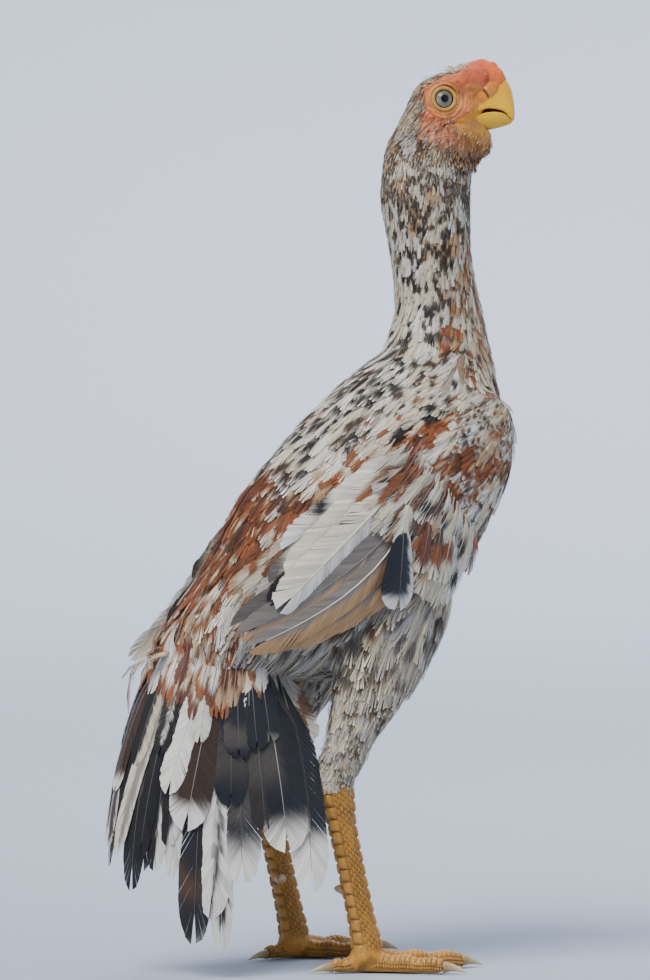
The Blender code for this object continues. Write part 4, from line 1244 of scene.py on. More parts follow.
# Zones of the photo in pixels: style, middle, half length, half width and slant in degrees
ZONES = (
    ("saddle", 225, 580, 170, 75, 52),
    ("rust", 268, 492, 100, 30, 52),
    ("rust", 196, 590, 34, 14, 55),
    ("cape", 372, 425, 75, 38, 22),
    ("white", 345, 455, 24, 14, 30),
    ("dark", 330, 470, 12, 7, 0),
    ("dark", 262, 505, 9, 6, 30),
    ("white", 246, 575, 30, 9, 40),
    ("white", 232, 618, 40, 10, 58),
    ("white", 196, 640, 34, 9, 62),
    ("white", 262, 552, 18, 10, 30),
    ("rust", 245, 605, 32, 9, 62),
    ("banded", 238, 672, 70, 50, 70),
    ("banded", 205, 600, 60, 20, 55),
    ("white", 262, 680, 10, 26, 0),
    ("mottle", 455, 430, 72, 62, 0),
    ("rust", 372, 462, 62, 27, 34),
    ("rust", 455, 500, 34, 12, 60),
    ("rust", 414, 432, 52, 20, 32),
    ("rust", 470, 452, 18, 12, 60),
    ("rust", 498, 458, 24, 11, 10),
    ("white", 432, 470, 24, 22, 60),
    ("edge", 398, 428, 88, 6, 27),
)


def style_body(look, points):
    """Gives each small feather the markings of its place."""
    count = len(points)
    along, above = body_axis(points)
    wing = on_wing(points)[0]
    z = points[:, 2]
    names = np.full(count, "neck", dtype=object)
    names[z > 408.0 + 20.0 * rough(points, 16.0, 23.0)] = "neck_top"
    names[(z < 388.0 + 16.0 * rough(points, 16.0, 30.0)) & (along < 20.0)] = "neck_low"
    front = to_head(points)[:, 0] > np.interp(z, (300.0, 405.0), (-2.0, 19.0))
    names[(z < 405.0) & (along < 25.0) & front] = "neck_front"
    names[z > 438.0] = "crown"
    torso = (along > 8.0) & (z < 352.0)
    names[torso] = "belly"
    names[torso & (above > 2.0 + 14.0 * rough(points, 18.0, 24.0))] = "saddle"
    names[torso & (above > -10.0) & (along < 50.0)] = "cape"
    names[torso & (above < -8.0) & (along < 100.0)] = "breast"
    names[wing] = "mottle"
    upper = torso & ((above > -6.0) | wing)
    px, py = photo_places(points)
    px += 9.0 * rough(points, 14.0, 21.0)
    py -= 9.0 * rough(points, 14.0, 22.0)
    for name, x, y, long, wide, slant in ZONES:
        cos, sin = math.cos(math.radians(slant)), math.sin(math.radians(slant))
        dx, dy = px - x, y - py
        inside = ((dx * cos + dy * sin) / long) ** 2 + ((dy * cos - dx * sin) / wide) ** 2 < 1.0
        names[inside & upper] = name
    coarse = 0.6 * noise3(points, 7.0, 25.0) + 0.4 * noise3(points, 4.0, 26.0)
    fine = 0.7 * noise3(points, 4.2, 28.0) + 0.3 * noise3(points, 2.4, 29.0)

    def ranked(values):
        order = np.empty(count)
        order[np.argsort(values)] = np.linspace(0.0, 1.0, count)
        return order

    order = ranked(np.where(z > 350.0, fine, coarse) + 0.12 * RNG.random(count))
    patch = ranked(noise3(points, 8.0, 27.0) + 0.30 * RNG.random(count))
    for name, kind in STYLES.items():
        mask = names == name
        total = int(mask.sum())
        if not total:
            continue
        grounds, chances = zip(*kind["grounds"])
        kinds = np.searchsorted(np.cumsum(chances) / np.sum(chances), patch[mask] * 0.999)
        look["ground"][mask] = np.asarray(grounds)[kinds] * RNG.uniform(0.86, 1.06, (total, 1))
        look["mark"][mask] = pick(*zip(*kind["marks"]), total)
        start = kind["span"][0] + RNG.uniform(-0.06, 0.06, total)
        look["v0"][mask] = np.where(order[mask] < kind["marked"], start, BEYOND)
        look["v1"][mask] = kind["span"][1]
        look["u0"][mask], look["u1"][mask] = kind["across"]
        look["tip"][mask] = kind["tip"]
        look["vt"][mask] = np.where(RNG.random(total) < kind["tipped"], kind["tip_from"], BEYOND)
    loose = np.isin(names, ("belly", "breast"))
    for key, value in (("pinch", 0.85), ("fray", 1.4), ("ruffle", 0.30), ("sweep", 0.40)):
        look[key][loose] = value


# Pieces of small feathers: longest length, barbs on a side, steps along a barb, feathers in a piece
BATCHES = {"small": (9.0, 9, 1, 5000), "medium": (16.0, 13, 2, 1800), "large": (99.0, 19, 3, 820)}


def build_body_plumage(ground, material):
    """Small feathers over the neck, body, thighs and wing arms, in pieces by their size and height."""
    roots = ground.scatter(BODY_TRIES, lambda points: feather_size(points)[2], plumage_wanted)
    count = len(roots)
    length, half, _ = feather_size(roots)
    length = length * (1.0 + 0.10 * RNG.normal(size=count))
    high = np.interp(length, (4.0, 10.0, 20.0, 34.0), (0.8, 1.4, 2.5, 3.4)) * RNG.uniform(0.8, 1.2, count)
    lines, ups = ground.lay(roots, length, 0.1, high, 0.13)
    proud = lines[:, -1, 0] < RUMP_END
    lines[proud] = lines[proud, :1] + 0.4 * (lines[proud] - lines[proud, :1])
    look = looks(
        count, half=half * (1.0 + 0.1 * RNG.normal(size=count)), pinch=0.70, fray=0.8, round=0.5,
        sweep=np.interp(length, (6.0, 20.0, 34.0), (0.40, 0.36, 0.28)), ruffle=0.04 + 0.03 * half,
        uv=skin_map(roots),
    )
    style_body(look, roots)
    shortest = 0.0
    for label, (longest, groups, columns, share) in BATCHES.items():
        chosen = np.flatnonzero((length >= shortest) & (length < longest))
        chosen = chosen[np.argsort(roots[chosen, 2])]
        shortest = longest
        for number, first in enumerate(range(0, len(chosen), share)):
            rows = chosen[first : first + share]
            part = {key: value[rows] for key, value in look.items()}
            name = "plumage_%s_%d" % (label, number)
            feathers(name, vane_grid(groups, 1, columns), lines[rows], ups[rows], part, material)


def build_bristles(ground, material):
    """Hair-like feathers of the face, brow and throat."""

    def wanted(points):
        head = to_head(points)
        x, _, z = head.T
        crown = 0.5 * step(478.0, 482.0, z) * step(27.0, 23.0, x) * step(11.0, 17.0, x)
        rear = 0.4 * step(6.0, -2.0, x)
        chance = 0.02 + 0.98 * np.maximum(np.maximum(step(461.0, 450.0, z), crown), rear)
        clear = np.linalg.norm(head - mirrored(EYE_PLACE, head), axis=1) > 9.2
        bill = (x > 16.0) & (z > np.where(x < 29.0, 449.6, 446.0)) & (z < 478.0)
        return clear & ~bill & (z > 431.0) & (x < 40.0) & (RNG.random(len(points)) < chance)

    roots = ground.scatter(BRISTLE_TRIES, lambda points: np.full(len(points), BRISTLE_GAP), wanted)
    count = len(roots)
    x, _, z = to_head(roots).T
    throat = step(454.0, 446.0, z) * step(2.0, 14.0, x)
    crown = step(475.0, 481.0, z)
    ear = bell((x + 7.0) / 6.0, (z - 452.0) / 5.0)
    cheek = bell((x + 6.0) / 5.0, (z - 441.0) / 4.0)
    length = 3.4 + 2.2 * throat + 2.2 * crown + 2.4 * ear + 1.8 * RNG.random(count)
    high = (0.9 + 2.2 * throat + 3.6 * crown + 1.1 * ear) * RNG.uniform(0.6, 1.3, count)
    lines, ups = ground.lay(roots, length, -0.1, high, 0.32, stations=4)
    half = RNG.uniform(0.11, 0.22, count) * (1.0 - 0.3 * throat)
    tone = pick([CREAM * 0.9, TAN * 1.3, BROWN * 1.8, RUST * 1.6], (4, 3, 3, 3), count)
    dark = pick([RUST * 1.9, TAN * 1.2, BROWN * 1.8, CREAM * 0.9], (6, 4, 1, 4), count)
    warm = pick([RUST * 1.5, TAN, CREAM * 0.8], (4, 2, 2), count)
    white = pick([CREAM * [1.1, 1.0, 0.8], WHITE * [1.05, 1.0, 0.85]], (3, 4), count)
    for place, other in ((cheek > 0.5, warm), (throat > 0.4, dark), ((crown > 0.4) | (ear > 0.45), white)):
        tone = np.where(place[:, None], other, tone)
    look = looks(count, half=half, ground=tone, streak=0.05, down=0.0, uv=skin_map(roots), patch=0.0015)
    feathers("face_bristles", vane_grid(1, 2, 1), lines, ups, look, material)


# Large feathers of wings and tail


def sheet_lines(sheet, quills, low, stations=12):
    """Lines across a sheet from each large feather's root to its tip, with the sheet's outward directions."""
    share = np.linspace(0.0, 1.0, stations)[None]
    keys = ("first", "last", "out", "bend")
    first, last, high, bend = (np.array([q[key] for q in quills], float) for key in keys)
    a = first[:, 0:1] + (last[:, 0:1] - first[:, 0:1]) * share
    b = first[:, 1:2] + (last[:, 1:2] - first[:, 1:2]) * share + bend[:, None] * np.sin(math.pi * share)
    out = low + (high[:, None] - low) * np.minimum(share / 0.3, 1.0)
    lines = sheet(a, b, out)
    return lines, unit(sheet(a, b, out + 1.0) - lines)


def quill(first, last, half, out, ground, *marks, **more):
    """Large feather as a record: root, tip, half width, level, colour, markings and other changes."""
    made = {"first": first, "last": last, "half": half, "out": out, "ground": ground, "bend": 0.0, **more}
    for mark in marks:
        made.update(mark)
    return made


def band(mark, v0, v1=1.3, u0=-2.0, u1=2.0):
    """Marking of another colour, along a feather and across it."""
    return {"mark": mark, "v0": v0, "v1": v1, "u0": u0, "u1": u1}


def tipped(tip, start):
    """Marking of a feather whose tip has another colour from a place on."""
    return {"tip": tip, "vt": start}


# Form of a large feather, where it differs from a plain one
QUILL_FORM = {
    "pinch": 0.01, "split": 0.9, "streak": 0.06, "sweep": 0.12, "camber": 0.16, "ruffle": 0.06, "fray": 0.12,
    "round": 0.78, "down": 0.2, "soft": 0.05, "patch": 0.006,
}


def build_quills(name, sheet, quills, side, material, low, v):
    """Mesh of large feathers, with their shafts as a second one, rooted at a level and mapped from v up."""
    count = len(quills)
    lines, ups = sheet_lines(sheet, quills, low)
    form = {**PLAIN_FEATHER, **QUILL_FORM}
    look = looks(count, **{key: [q.get(key, value) for q in quills] for key, value in form.items()})
    if side > 0:
        look["u0"], look["u1"] = -look["u1"], -look["u0"]
        v += 0.15
    place = np.arange(count)
    look["uv"] = np.stack([0.72 + 0.009 * (place % 30), v + 0.045 * (place // 30)], axis=-1)
    vanes = feathers(name, vane_grid(QUILL_BARBS, 1, 5), lines, ups, look, material, aspect=6.0)
    build_shafts(name + "_shafts", lines, ups, quills, material, look["uv"])
    return vanes


def build_shafts(name, lines, ups, quills, material, uvs):
    """Shafts of large feathers, standing proud of their vanes."""
    count, stations = lines.shape[:2]
    sides = 6
    across = unit(np.cross(ups, unit(np.gradient(lines, axis=1))))
    thick = np.array([q.get("shaft", 0.42) for q in quills])[:, None, None]
    thick = thick * np.linspace(1.0, 0.15, stations)[:, None]
    points = []
    for angle in round_turn(sides):
        points.append(lines + across * math.cos(angle) * thick + ups * (math.sin(angle) * 1.1 + 0.3) * thick)
    points = np.stack(points, axis=2)[:, :-1]
    each = (stations - 1) * sides
    made = make(name, points.reshape(-1, 3), copied_faces(tube_faces(stations - 1, sides), count, each))
    tones = np.array([q.get("shaft_tone", q["ground"] * 0.5 + 0.12) for q in quills])
    paint(made, np.repeat(tones, each, axis=0))
    put_uv(made, np.repeat(uvs, each, axis=0))
    finish_piece(made, material)


def wing_quills():
    """Flight feathers and hanging coverts of one wing, from the lowest up."""
    loose = {"fray": 0.8, "pinch": 0.5, "sweep": 0.3}
    hanging = {**loose, "rise": 0.6}
    white = {"streak": 0.13, "fray": 0.25}
    dark, rusty = {"streak": 0.09}, {"streak": 0.10}
    return [
        quill((88, -24), (170, -19), 5.5, -1.6, SMOKE * 2.0, band(BUFF, 0.0, u0=0.3), dark, bend=-3.0),
        quill((86, -18), (188, -13), 6.5, -0.8, SMOKE * 3.0, band(BUFF, 0.0, u0=0.3), dark, bend=-5.0),
        quill((86, -12), (198, -6), 7.0, 0.0, SMOKE * 3.6, band(BUFF, 0.0, u0=0.45), dark, bend=-8.0),
        quill((84, 8), (206, 14), 8.5, 0.4, SMOKE * 2.0, band(RUST * 2.0, 0.45, u0=0.3), rusty, bend=-3.0),
        quill((84, 4), (207, 9), 8.5, 1.0, SMOKE * 3.2, band(BUFF * 1.1, 0.3, u0=0.35), rusty, bend=-6.0),
        quill((86, 2), (207, 1), 9.0, 1.6, SMOKE * 3.8, band(BUFF, 0.0, u0=0.28), dark, bend=-10.5,
              narrow=0.85, shaft=0.6, shaft_tone=IVORY),
        quill((84, 14), (184, 13), 8.5, 2.0, SMOKE * 1.5, tipped(BLACK, 0.85), streak=0.1),
        quill((80, 21), (176, 20), 8.5, 2.3, IVORY * 0.95, band(SMOKE * 2.0, 0.9, u1=-0.2), round=0.9),
        quill((80, 18), (183, 7), 10.5, 3.2, WHITE, band(IVORY, 0.3, u1=0.1), white, bend=1.5, shaft=0.6,
              shaft_tone=IVORY * 1.1, round=0.84, camber=0.24, split=1.3),
        quill((80, 25), (168, 18), 9.0, 3.4, IVORY, white, bend=2.0, shaft_tone=IVORY, camber=0.24,
              split=1.2),
        quill((76, 27), (160, 29), 8.4, 2.8, WHITE * 0.97, band(BLACK, 0.62, 0.70, u1=-0.3), white, bend=1.0,
              shaft_tone=IVORY, camber=0.22),
        quill((72, 28), (140, 30), 6.5, 2.0, WHITE * 0.95, band(BLACK, 0.86, 0.95, u1=0.0), bend=1.0),
        quill((66, 26), (118, 23), 4.6, 4.2, MAHOGANY * 1.8, tipped(RUST * 1.4, 0.7), loose, bend=0.5),
        quill((70, 21), (114, 15), 4.6, 4.6, RUST * 1.3, tipped(IVORY, 0.86), loose, bend=0.5),
        quill((72, 14), (112, 10), 4.6, 4.4, CREAM, band(RUST, 0.3, 0.7), loose, bend=0.5),
        quill((96, 11), (133, -34), 11.5, 6.2, BLUE_BLACK * 1.2, band(WHITE, 0.25, 0.93, 0.60),
              tipped(WHITE, 0.88), bend=1.0, round=0.74, rise=0.98, camber=0.3),
        quill((88, 10), (114, -6), 4.6, 5.6, IVORY, loose, bend=1.0),
        quill((84, -2), (112, -26), 5.4, 5.4, MAHOGANY * 1.6, tipped(CREAM, 0.84), hanging),
        quill((80, -8), (108, -34), 5.2, 5.0, RUST * 1.2, band(BROWN, 0.2, 0.5), tipped(CREAM, 0.8), hanging),
        quill((76, -14), (104, -40), 5.0, 4.6, CREAM * 0.95, band(RUST, 0.4, 0.7), hanging),
        quill((86, -14), (118, -36), 5.0, 4.2, CREAM * 0.9, band(TAN, 0.5, 0.8), hanging),
    ]


# Rows of coverts: place down the wing, lowest and highest place across it, length, half width, number, level
COVERT_ROWS = (
    (86.0, -33.0, 19.0, 31.0, 3.8, 19, 3.2),
    (77.0, -33.0, 22.0, 28.0, 3.6, 20, 3.8),
    (68.0, -32.0, 25.0, 26.0, 3.4, 21, 4.2),
)


def covert_quills():
    """Rows of coverts over the roots of the flight feathers."""
    quills = []
    for start, low, high, length, half, number, out in COVERT_ROWS:
        for k in range(number):
            share = k / (number - 1)
            t = low + (high - low) * share
            turn = math.radians(34.0 * (1.0 - share) + RNG.normal() * 5.0)
            reach = length * RNG.uniform(0.85, 1.15)
            last = (start + reach * math.cos(turn), t - reach * math.sin(turn))
            rusty = RNG.random() < 0.15 + 0.35 * share
            if rusty:
                ground = pick_one((RUST * 1.3, 4), (MAHOGANY * 1.5, 3), (BROWN * 1.5, 1))
            else:
                ground = pick_one((WHITE * 0.9, 5), (CREAM * 0.9, 5), (GREY * 1.6, 2), (TAN, 1))
            mark = BROWN if RNG.random() < 0.6 else BLACK * 1.5
            spot = band(mark, 0.55 if RNG.random() < 0.4 else BEYOND, 0.9, -0.6, 1.2)
            tip = tipped(CREAM * 0.9, 0.9 if rusty and RNG.random() < 0.5 else BEYOND)
            quills.append(quill((start, t), last, half, out + 0.6 * share, ground, spot, tip, pinch=0.6,
                                fray=0.9, sweep=0.35, round=0.62))
    return quills


# Tail feathers from the side up to the ridge, and those over them: shares of the arc at root and tip,
# height of the tip, half width, level, colour and markings
HANGING = {"pinch": 0.12, "fray": 0.5}
TAIL_QUILLS = (
    (0.97, 0.99, 45, 10.0, -0.8, BLUE_BLACK, band(BLACK, 0.7, 1.3, -0.12, 0.10), tipped(WHITE, 0.76)),
    (0.90, 0.93, 70, 8.0, 0.2, SMOKE * 0.6, tipped(WHITE * 0.7, 0.9)),
    (0.82, 0.875, 66, 13.0, 1.8, BLUE_BLACK * 0.9, band(SMOKE * 0.9, 0.42, 0.62, u1=0.2), tipped(WHITE, 0.86),
     {"soft": 0.09, "shaft": 0.5, "shaft_tone": GREY}),
    (0.73, 0.77, 78, 10.0, 0.9, SMOKE * 0.45, band(SMOKE, 0.5, 0.7), {"soft": 0.1}),
    (0.64, 0.655, 49, 10.5, 0.3, BLUE_BLACK * 0.9, band(SMOKE * 1.1, 0.6, 0.74), tipped(WHITE * 0.95, 0.84),
     {"soft": 0.08}),
    (0.60, 0.60, 90, 9.0, 1.9, BLUE_BLACK, band(SMOKE * 0.8, 0.55, 0.8), {"soft": 0.1}),
    (0.54, 0.56, 14, 6.5, -0.9, WHITE * 0.85, band(BLACK, 0.0, 0.95, -0.45, 0.5)),
    (0.55, 0.51, 32, 10.5, 0.0, WHITE * 0.95, band(BLACK * 1.3, 0.0, 0.97, 0.02, 0.34)),
    (0.47, 0.425, 18, 9.0, -0.4, BLACK * 1.5, band(BROWN * 1.1, 0.78, 0.84), tipped(WHITE, 1.0)),
    (0.49, 0.38, 78, 11.0, 2.2, BROWN * 0.6, band(WHITE, 0.3, u1=-0.82), tipped(WHITE, 0.86),
     {"shaft_tone": GREY}),
    (0.40, 0.285, 97, 6.8, 3.0, WHITE, {"shaft_tone": WHITE}),
    (0.44, 0.42, 124, 5.0, 3.4, WHITE * 0.8),
    (0.36, 0.32, 52, 4.4, -0.2, WHITE * 0.85),
    (0.33, 0.30, 70, 6.5, 1.0, BLACK * 1.3, band(WHITE * 0.8, 0.6, u0=0.5)),
    (0.27, 0.24, 56, 5.5, 0.6, BLACK * 1.4, band(WHITE * 0.85, 0.72, u0=0.15)),
    (0.24, 0.17, 62, 5.0, 1.5, BLACK * 1.2),
    (0.17, 0.13, 46, 6.0, 1.2, BLACK * 1.3, band(SMOKE, 0.5, 0.6)),
    (0.20, 0.055, 64, 4.2, 2.6, IVORY * 0.95, band(GREY * 0.8, 0.3, 1.2, -0.2, 0.7)),
    (0.12, 0.06, 72, 5.5, 1.8, BLACK * 1.4, band(WHITE * 0.7, 0.4, u0=0.6)),
    (0.07, 0.0, 66, 6.0, 1.4, BROWN * 0.7, band(WHITE * 0.8, 0.3, u1=-0.75)),
    (0.03, 0.0, 98, 5.0, 2.8, BROWN * 0.8, tipped(WHITE, 0.9)),
    (0.62, 0.64, 116, 7.5, 3.6, BLUE_BLACK * 1.1, band(SMOKE, 0.7, 0.9)),
    (0.72, 0.74, 120, 7.5, 3.8, BLUE_BLACK),
    (0.80, 0.82, 124, 7.0, 3.2, BLUE_BLACK, tipped(SMOKE * 2, 0.9)),
    (0.26, 0.22, 118, 5.0, 3.4, BLACK * 1.6, band(WHITE * 0.8, 0.2, 1.0, -0.2, 0.25)),
    (0.14, 0.10, 112, 5.0, 3.2, BLACK * 1.6, band(CREAM * 0.8, 0.2, 1.0, 0.3)),
    (0.97, 1.03, 116, 7.0, -2.4, GREY, band(BROWN * 1.5, 0.5, 0.75), tipped(WHITE, 0.86), HANGING),
    (0.92, 1.0, 104, 7.0, -3.0, GREY * 1.1, band(BROWN, 0.5, 0.8), tipped(WHITE, 0.86), HANGING),
    (1.02, 1.08, 124, 7.0, -2.8, GREY * 1.2, band(BROWN * 1.5, 0.4, 0.7), HANGING),
)


def tail_quills(side):
    """Large feathers of one half of the tail, then the short coverts over their roots."""
    quills = []
    for root, last, low_z, half, out, tone, *marks in TAIL_QUILLS:
        tip_z = max(low_z, 50.0) + RNG.uniform(0.0, 12.0) if side > 0 else low_z
        x = -99.0 + 57.0 * max(root - 0.4, 0.0)
        root_z = TAIL_JOINT_Z + TAIL_JOINT_SLOPE * (x - TAIL_JOINT_X) + 2.0
        quills.append(quill((root_z, root), (tip_z, last), half, out, tone, *marks))
    for k in range(22):
        share = 0.10 + 0.034 * k + RNG.uniform(-0.012, 0.012)
        tip_z = 150.0 - 9.0 * math.sin(math.pi * share) + RNG.uniform(-7.0, 7.0) + 6.0 * (k % 2)
        tone = pick_one((RUST * 1.4, 5), (TAN, 3), (WHITE * 0.9, 2), (MAHOGANY * 1.6, 2))
        spot = band(pick_one((CREAM, 4), (WHITE, 2), (MAHOGANY, 2)), 0.45, 0.80, -0.6, 0.6)
        quills.append(quill((186.0, share), (tip_z, share - 0.02), 4.2, 3.6 + 0.5 * (k % 2), tone, spot,
                            fray=0.5, pinch=0.15, sweep=0.26, round=0.5, soft=0.08))
    return quills


def build_wing_and_tail(side, label, material):
    """All large feathers of one side, with the far wing's upper ones tucked under the saddle."""
    folded = wing_quills()
    covering = {"fray": 0.6, "pinch": 0.3, "sweep": 0.3, "round": 0.5}
    spot = band(CREAM, 0.5, 0.8, -0.5, 0.5)
    if side > 0:
        for q in folded:
            for end in ("first", "last"):
                s, t = q[end]
                q[end] = (s, min(t, 17.0 + 0.15 * (t - 17.0)))
                q["out"] -= 1.5 * (t > 7.0)
        for k in range(14):
            tone = pick_one((RUST * 1.4, 4), (RUST, 2), (TAN, 2), (CREAM, 3))
            s, t = 96.0 + 8.0 * k, 17.0 + 5.0 * (k % 2) - 0.6 * k
            folded.append(quill((s, t), (s + 32.0, t - 2.0), 5.0, 3.4, tone, spot, covering))
    else:
        for k in range(24):
            tone = (RUST * 1.5, CREAM, RUST * 1.2, WHITE * 0.9, TAN * 1.2)[k * 3 % 5]
            s, t = 62.0 + 4.4 * k, 23.0 + 5.0 * (k % 3) - 0.1 * k
            level = -1.4 + 0.3 * (k % 3)
            folded.append(quill((s, t), (s + 30.0, t - 3.0), 5.0, level, tone, spot, covering))
    wing, tail = "wing_" + label, "tail_" + label
    sheet = wing_sheet(side)
    made = build_quills(wing + "_quills", sheet, folded, side, material, -3.0, 0.36)
    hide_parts(wing)
    build_quills(wing + "_coverts", sheet, covert_quills(), side, material, -1.0, 0.42)
    fan = tail_sheet(side)
    made = build_quills(tail + "_quills", fan, tail_quills(side), side, material, -2.5, 0.70)
    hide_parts(tail)


# Face: eyes, lids, bill and comb


def gaze_frame(side):
    """Middle of an eyeball and its axes: across, up and out along the gaze."""
    mirror = np.array([1.0, side, 1.0])
    gaze = unit(EYE_GAZE * mirror)
    across = unit(np.cross(gaze, [0.0, 0.0, 1.0]))
    return EYE_PLACE * mirror - gaze * EYE_SEAT, across, np.cross(across, gaze), gaze


def build_eye(side, label, material):
    """Eyeball with a painted iris, a dark rim, a pupil and the lid's painted shadow over the iris's upper
    part.
    """
    centre, across, up, gaze = gaze_frame(side)
    turn = round_turn(64)
    spoke = spokes(turn, across, up)
    # Painted shadow of the upper lid, darkening the iris's upper part
    lid_shadow = 1.0 - 0.45 * step(-0.3, 0.9, np.sin(turn))
    threads = 0.5 + 0.5 * np.sin(turn * 23 + 2.0 * np.sin(turn * 7))
    rings, colours = [], []
    for angle in np.concatenate([np.linspace(0.01, 0.95, 46), np.linspace(1.05, 2.2, 10)]):
        bulge = EYE_RADIUS + 0.25 * math.exp(-((angle / 0.5) ** 2))
        rings.append(in_head(centre + spoke * bulge * math.sin(angle) + gaze * bulge * math.cos(angle)))
        reach = EYE_RADIUS * math.sin(min(angle, 1.5))
        iris = mixed(PEARL * 1.15, PEARL * 0.8, 0.35 * threads + 0.3 * step(2.6, 4.0, reach))
        iris = mixed(iris, IRIS_BROWN, 0.35 * step(3.0, 3.9, reach)) * lid_shadow[:, None]
        pupil = step(PUPIL + 0.22, PUPIL - 0.08, reach)
        colours.append(layered(iris, (PUPIL_BLACK, pupil), (EYE_RIM, step(IRIS - 0.25, IRIS + 0.1, reach))))
    made = tube("eye_ball_" + label, rings)
    paint(made, np.concatenate(colours))
    finish_piece(made, material)
    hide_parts("eye_" + label)


def build_lids(side, label, material):
    """Ring of the lids, with a thin dark edge, folds above and below, and painted shade in the upper fold."""
    centre, across, up, gaze = gaze_frame(side)
    turn = round_turn(96)
    spoke = spokes(turn, across, up)
    above = np.maximum(np.sin(turn), 0.0)
    front = np.maximum(np.cos(turn) * (1.0 if across[0] > 0 else -1.0), 0.0)
    rings, colours = [], []
    for reach, height in smooth_rows(LID_PROFILE, 5):
        crease = 0.10 * np.sin(turn * 31 + reach * 2.0) * step(5.0, 5.8, reach)
        wide = reach * (1.0 + 0.05 * front**4)
        ring = centre + spoke * (wide + crease * 0.4)[:, None] + gaze * (height + crease)[:, None]
        rings.append(in_head(ring))
        colours.append(layered(
            LID_YELLOW,
            (LID_RED, step(6.6, 7.8, reach) * (0.6 + 0.5 * above)),
            # painted shade in the fold of the upper lid
            (LID_FOLD_SHADE, 0.8 * math.exp(-(((reach - 7.2) / 0.35) ** 2)) * above),
            (LID_EDGE, step(5.05, 4.85, reach)),
        ))
    made = tube("eye_lids_" + label, rings)
    paint(made, np.concatenate(colours))
    finish_piece(made, material)


def bill_half(name, stations, under):
    """Upper or lower half of the bill, in the head's own frame."""
    return modified(loft_object(name, bill_rings(stations, 6, under)), "SUBSURF", levels=1, render_levels=1)


def build_upper_bill(material):
    """Upper bill with nostrils, and the orange skin over its base, with painted shade in the nostrils and
    along the skin's edge.
    """
    upper = bill_half("bill_upper", BILL_UPPER, False)
    head = points_of(upper)
    x, y, z = head.T
    dx, dz = x - NOSTRIL[0], z - NOSTRIL[1]
    along, off = dx * 0.62 - dz * 0.78, dx * 0.78 + dz * 0.62
    outer = step(0.35, 0.7, np.abs(y) / 7.0)
    slit = bell((off + 0.05 * along**2) / 0.42) * step(3.3, 2.0, np.abs(along))
    flap = bell((off - 1.6) / 1.3, along / 2.6)
    ahead = x - np.interp(z, CERE_EDGE_Z, CERE_EDGE_X)
    cover = step(0.7, -0.7, ahead)
    lift = 0.75 * cover + outer * (0.8 * flap - 1.5 * slit) + 0.3 * rough(head, 2.0, 9.0) * cover
    put_points(upper, in_head(head + normals_of(upper) * lift[:, None]))
    horn = layered(BILL_YELLOW, (BILL_AMBER, step(462.0, 474.0, z)), (BILL_TIP, 0.5 * step(46.0, 47.3, x)))
    cere = layered(CERE_ORANGE, (CERE_RED, step(472.0, 479.0, z)), (CERE_PALE, 0.6 * flap * outer))
    cere = cere * (1.0 - 0.3 * step(0.5, 0.8, noise3(head, 2.4, 15.0)))[:, None]
    # the nostril slits are darkened with painted shade
    tone = layered(horn, (cere, step(1.6, -0.6, ahead)), (NOSTRIL_SHADE, np.minimum(1.3 * slit * outer, 1.0)))
    # Painted shade along the edge where the orange skin rises over the horn
    paint(upper, mixed(tone, tone * 0.6, 0.5 * bell((ahead + 0.2) / 0.5)))
    finish_piece(upper, material)
    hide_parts("beak_upper")


def build_lower_bill(material):
    """Lower bill, with skin at its root and painted shade on its underside."""
    lower = bill_half("bill_lower", BILL_LOWER, True)
    head = points_of(lower)
    x, _, z = head.T
    put_points(lower, in_head(head))
    root = step(24.0, 15.5, x + 0.6 * (z - 452.0))
    # the underside is darkened with painted shade
    paint(lower, layered(JAW_YELLOW, (JAW_ROOT, root), (JAW_UNDER_SHADE, step(452.0, 449.0, z))))
    finish_piece(lower, material)
    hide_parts("beak_lower")


def build_mouth(material):
    """Inside of the mouth between the halves of the bill, painted dark as the shade in the gap."""
    mouth = head_loft("mouth", bill_rings(MOUTH, 1, sides=17))
    paint(mouth, MOUTH_SHADE)
    finish_piece(mouth, material)


def build_comb(material):
    """Low pea comb of three fused rows of bulbs."""
    bulbs = [((x, 0.0, z), radius) for x, z, radius in COMB_MIDDLE_ROW]
    for side, _ in SIDES:
        bulbs += [((x, side * COMB_SPREAD, z), radius) for x, z, radius in COMB_SIDE_ROW]
    forms = [(centre, (radius * 1.12, radius, radius)) for centre, radius in bulbs] + list(COMB_CORE)
    parts = [head_loft("comb_form", ellipsoid(centre, radii)) for centre, radii in forms]
    comb = fused("comb_piece", parts, COMB_VOXEL, COMB_SMOOTHING)
    points = points_of(comb)
    lumps = 0.45 * rough(points, 3.0, 11.0) + 0.25 * rough(points, 1.1, 12.0)
    points += normals_of(comb) * lumps[:, None]
    put_points(comb, points)
    paint(comb, layered(
        COMB_RED,
        (COMB_ORANGE, step(26.0, 40.0, to_head(points)[:, 0])),
        (COMB_PINK, 0.6 * step(0.45, 0.75, noise3(points, 4.0, 13.0))),
        (COMB_PIT, 0.5 * step(0.76, 0.86, noise3(points, 1.8, 14.0))),
    ))
    finish_piece(comb, material)
    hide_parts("comb")


# Legs: plates, spurs and claws


def plate(surface_at, low, high, first, last, lift, tone, rows, columns):
    """Raised plate on a surface given by two places, its edges sunk in: its points, faces and colours,
    darkened towards the sunk edges as painted shade.
    """
    along = np.linspace(-1.0, 1.0, rows + 1)[:, None]
    across = np.linspace(-1.0, 1.0, columns + 1)[None]
    edge = np.maximum(np.abs(across) ** 5, np.abs(along) ** 5)
    out = lift * (1.0 - edge) - 0.5 * edge + 0.25 * lift * along
    a = np.linspace(low, high, rows + 1)[:, None]
    b = np.linspace(first, last, columns + 1)[None]
    points = surface_at(*np.broadcast_arrays(a, b, out)).reshape(-1, 3)
    # Painted shade in the grooves between plates, darkest at the sunk edges
    groove_shade = np.maximum(np.abs(along), np.abs(across)).ravel() ** 4
    return points, grid_faces(rows, columns), mixed(tone, tone * 0.42, groove_shade)


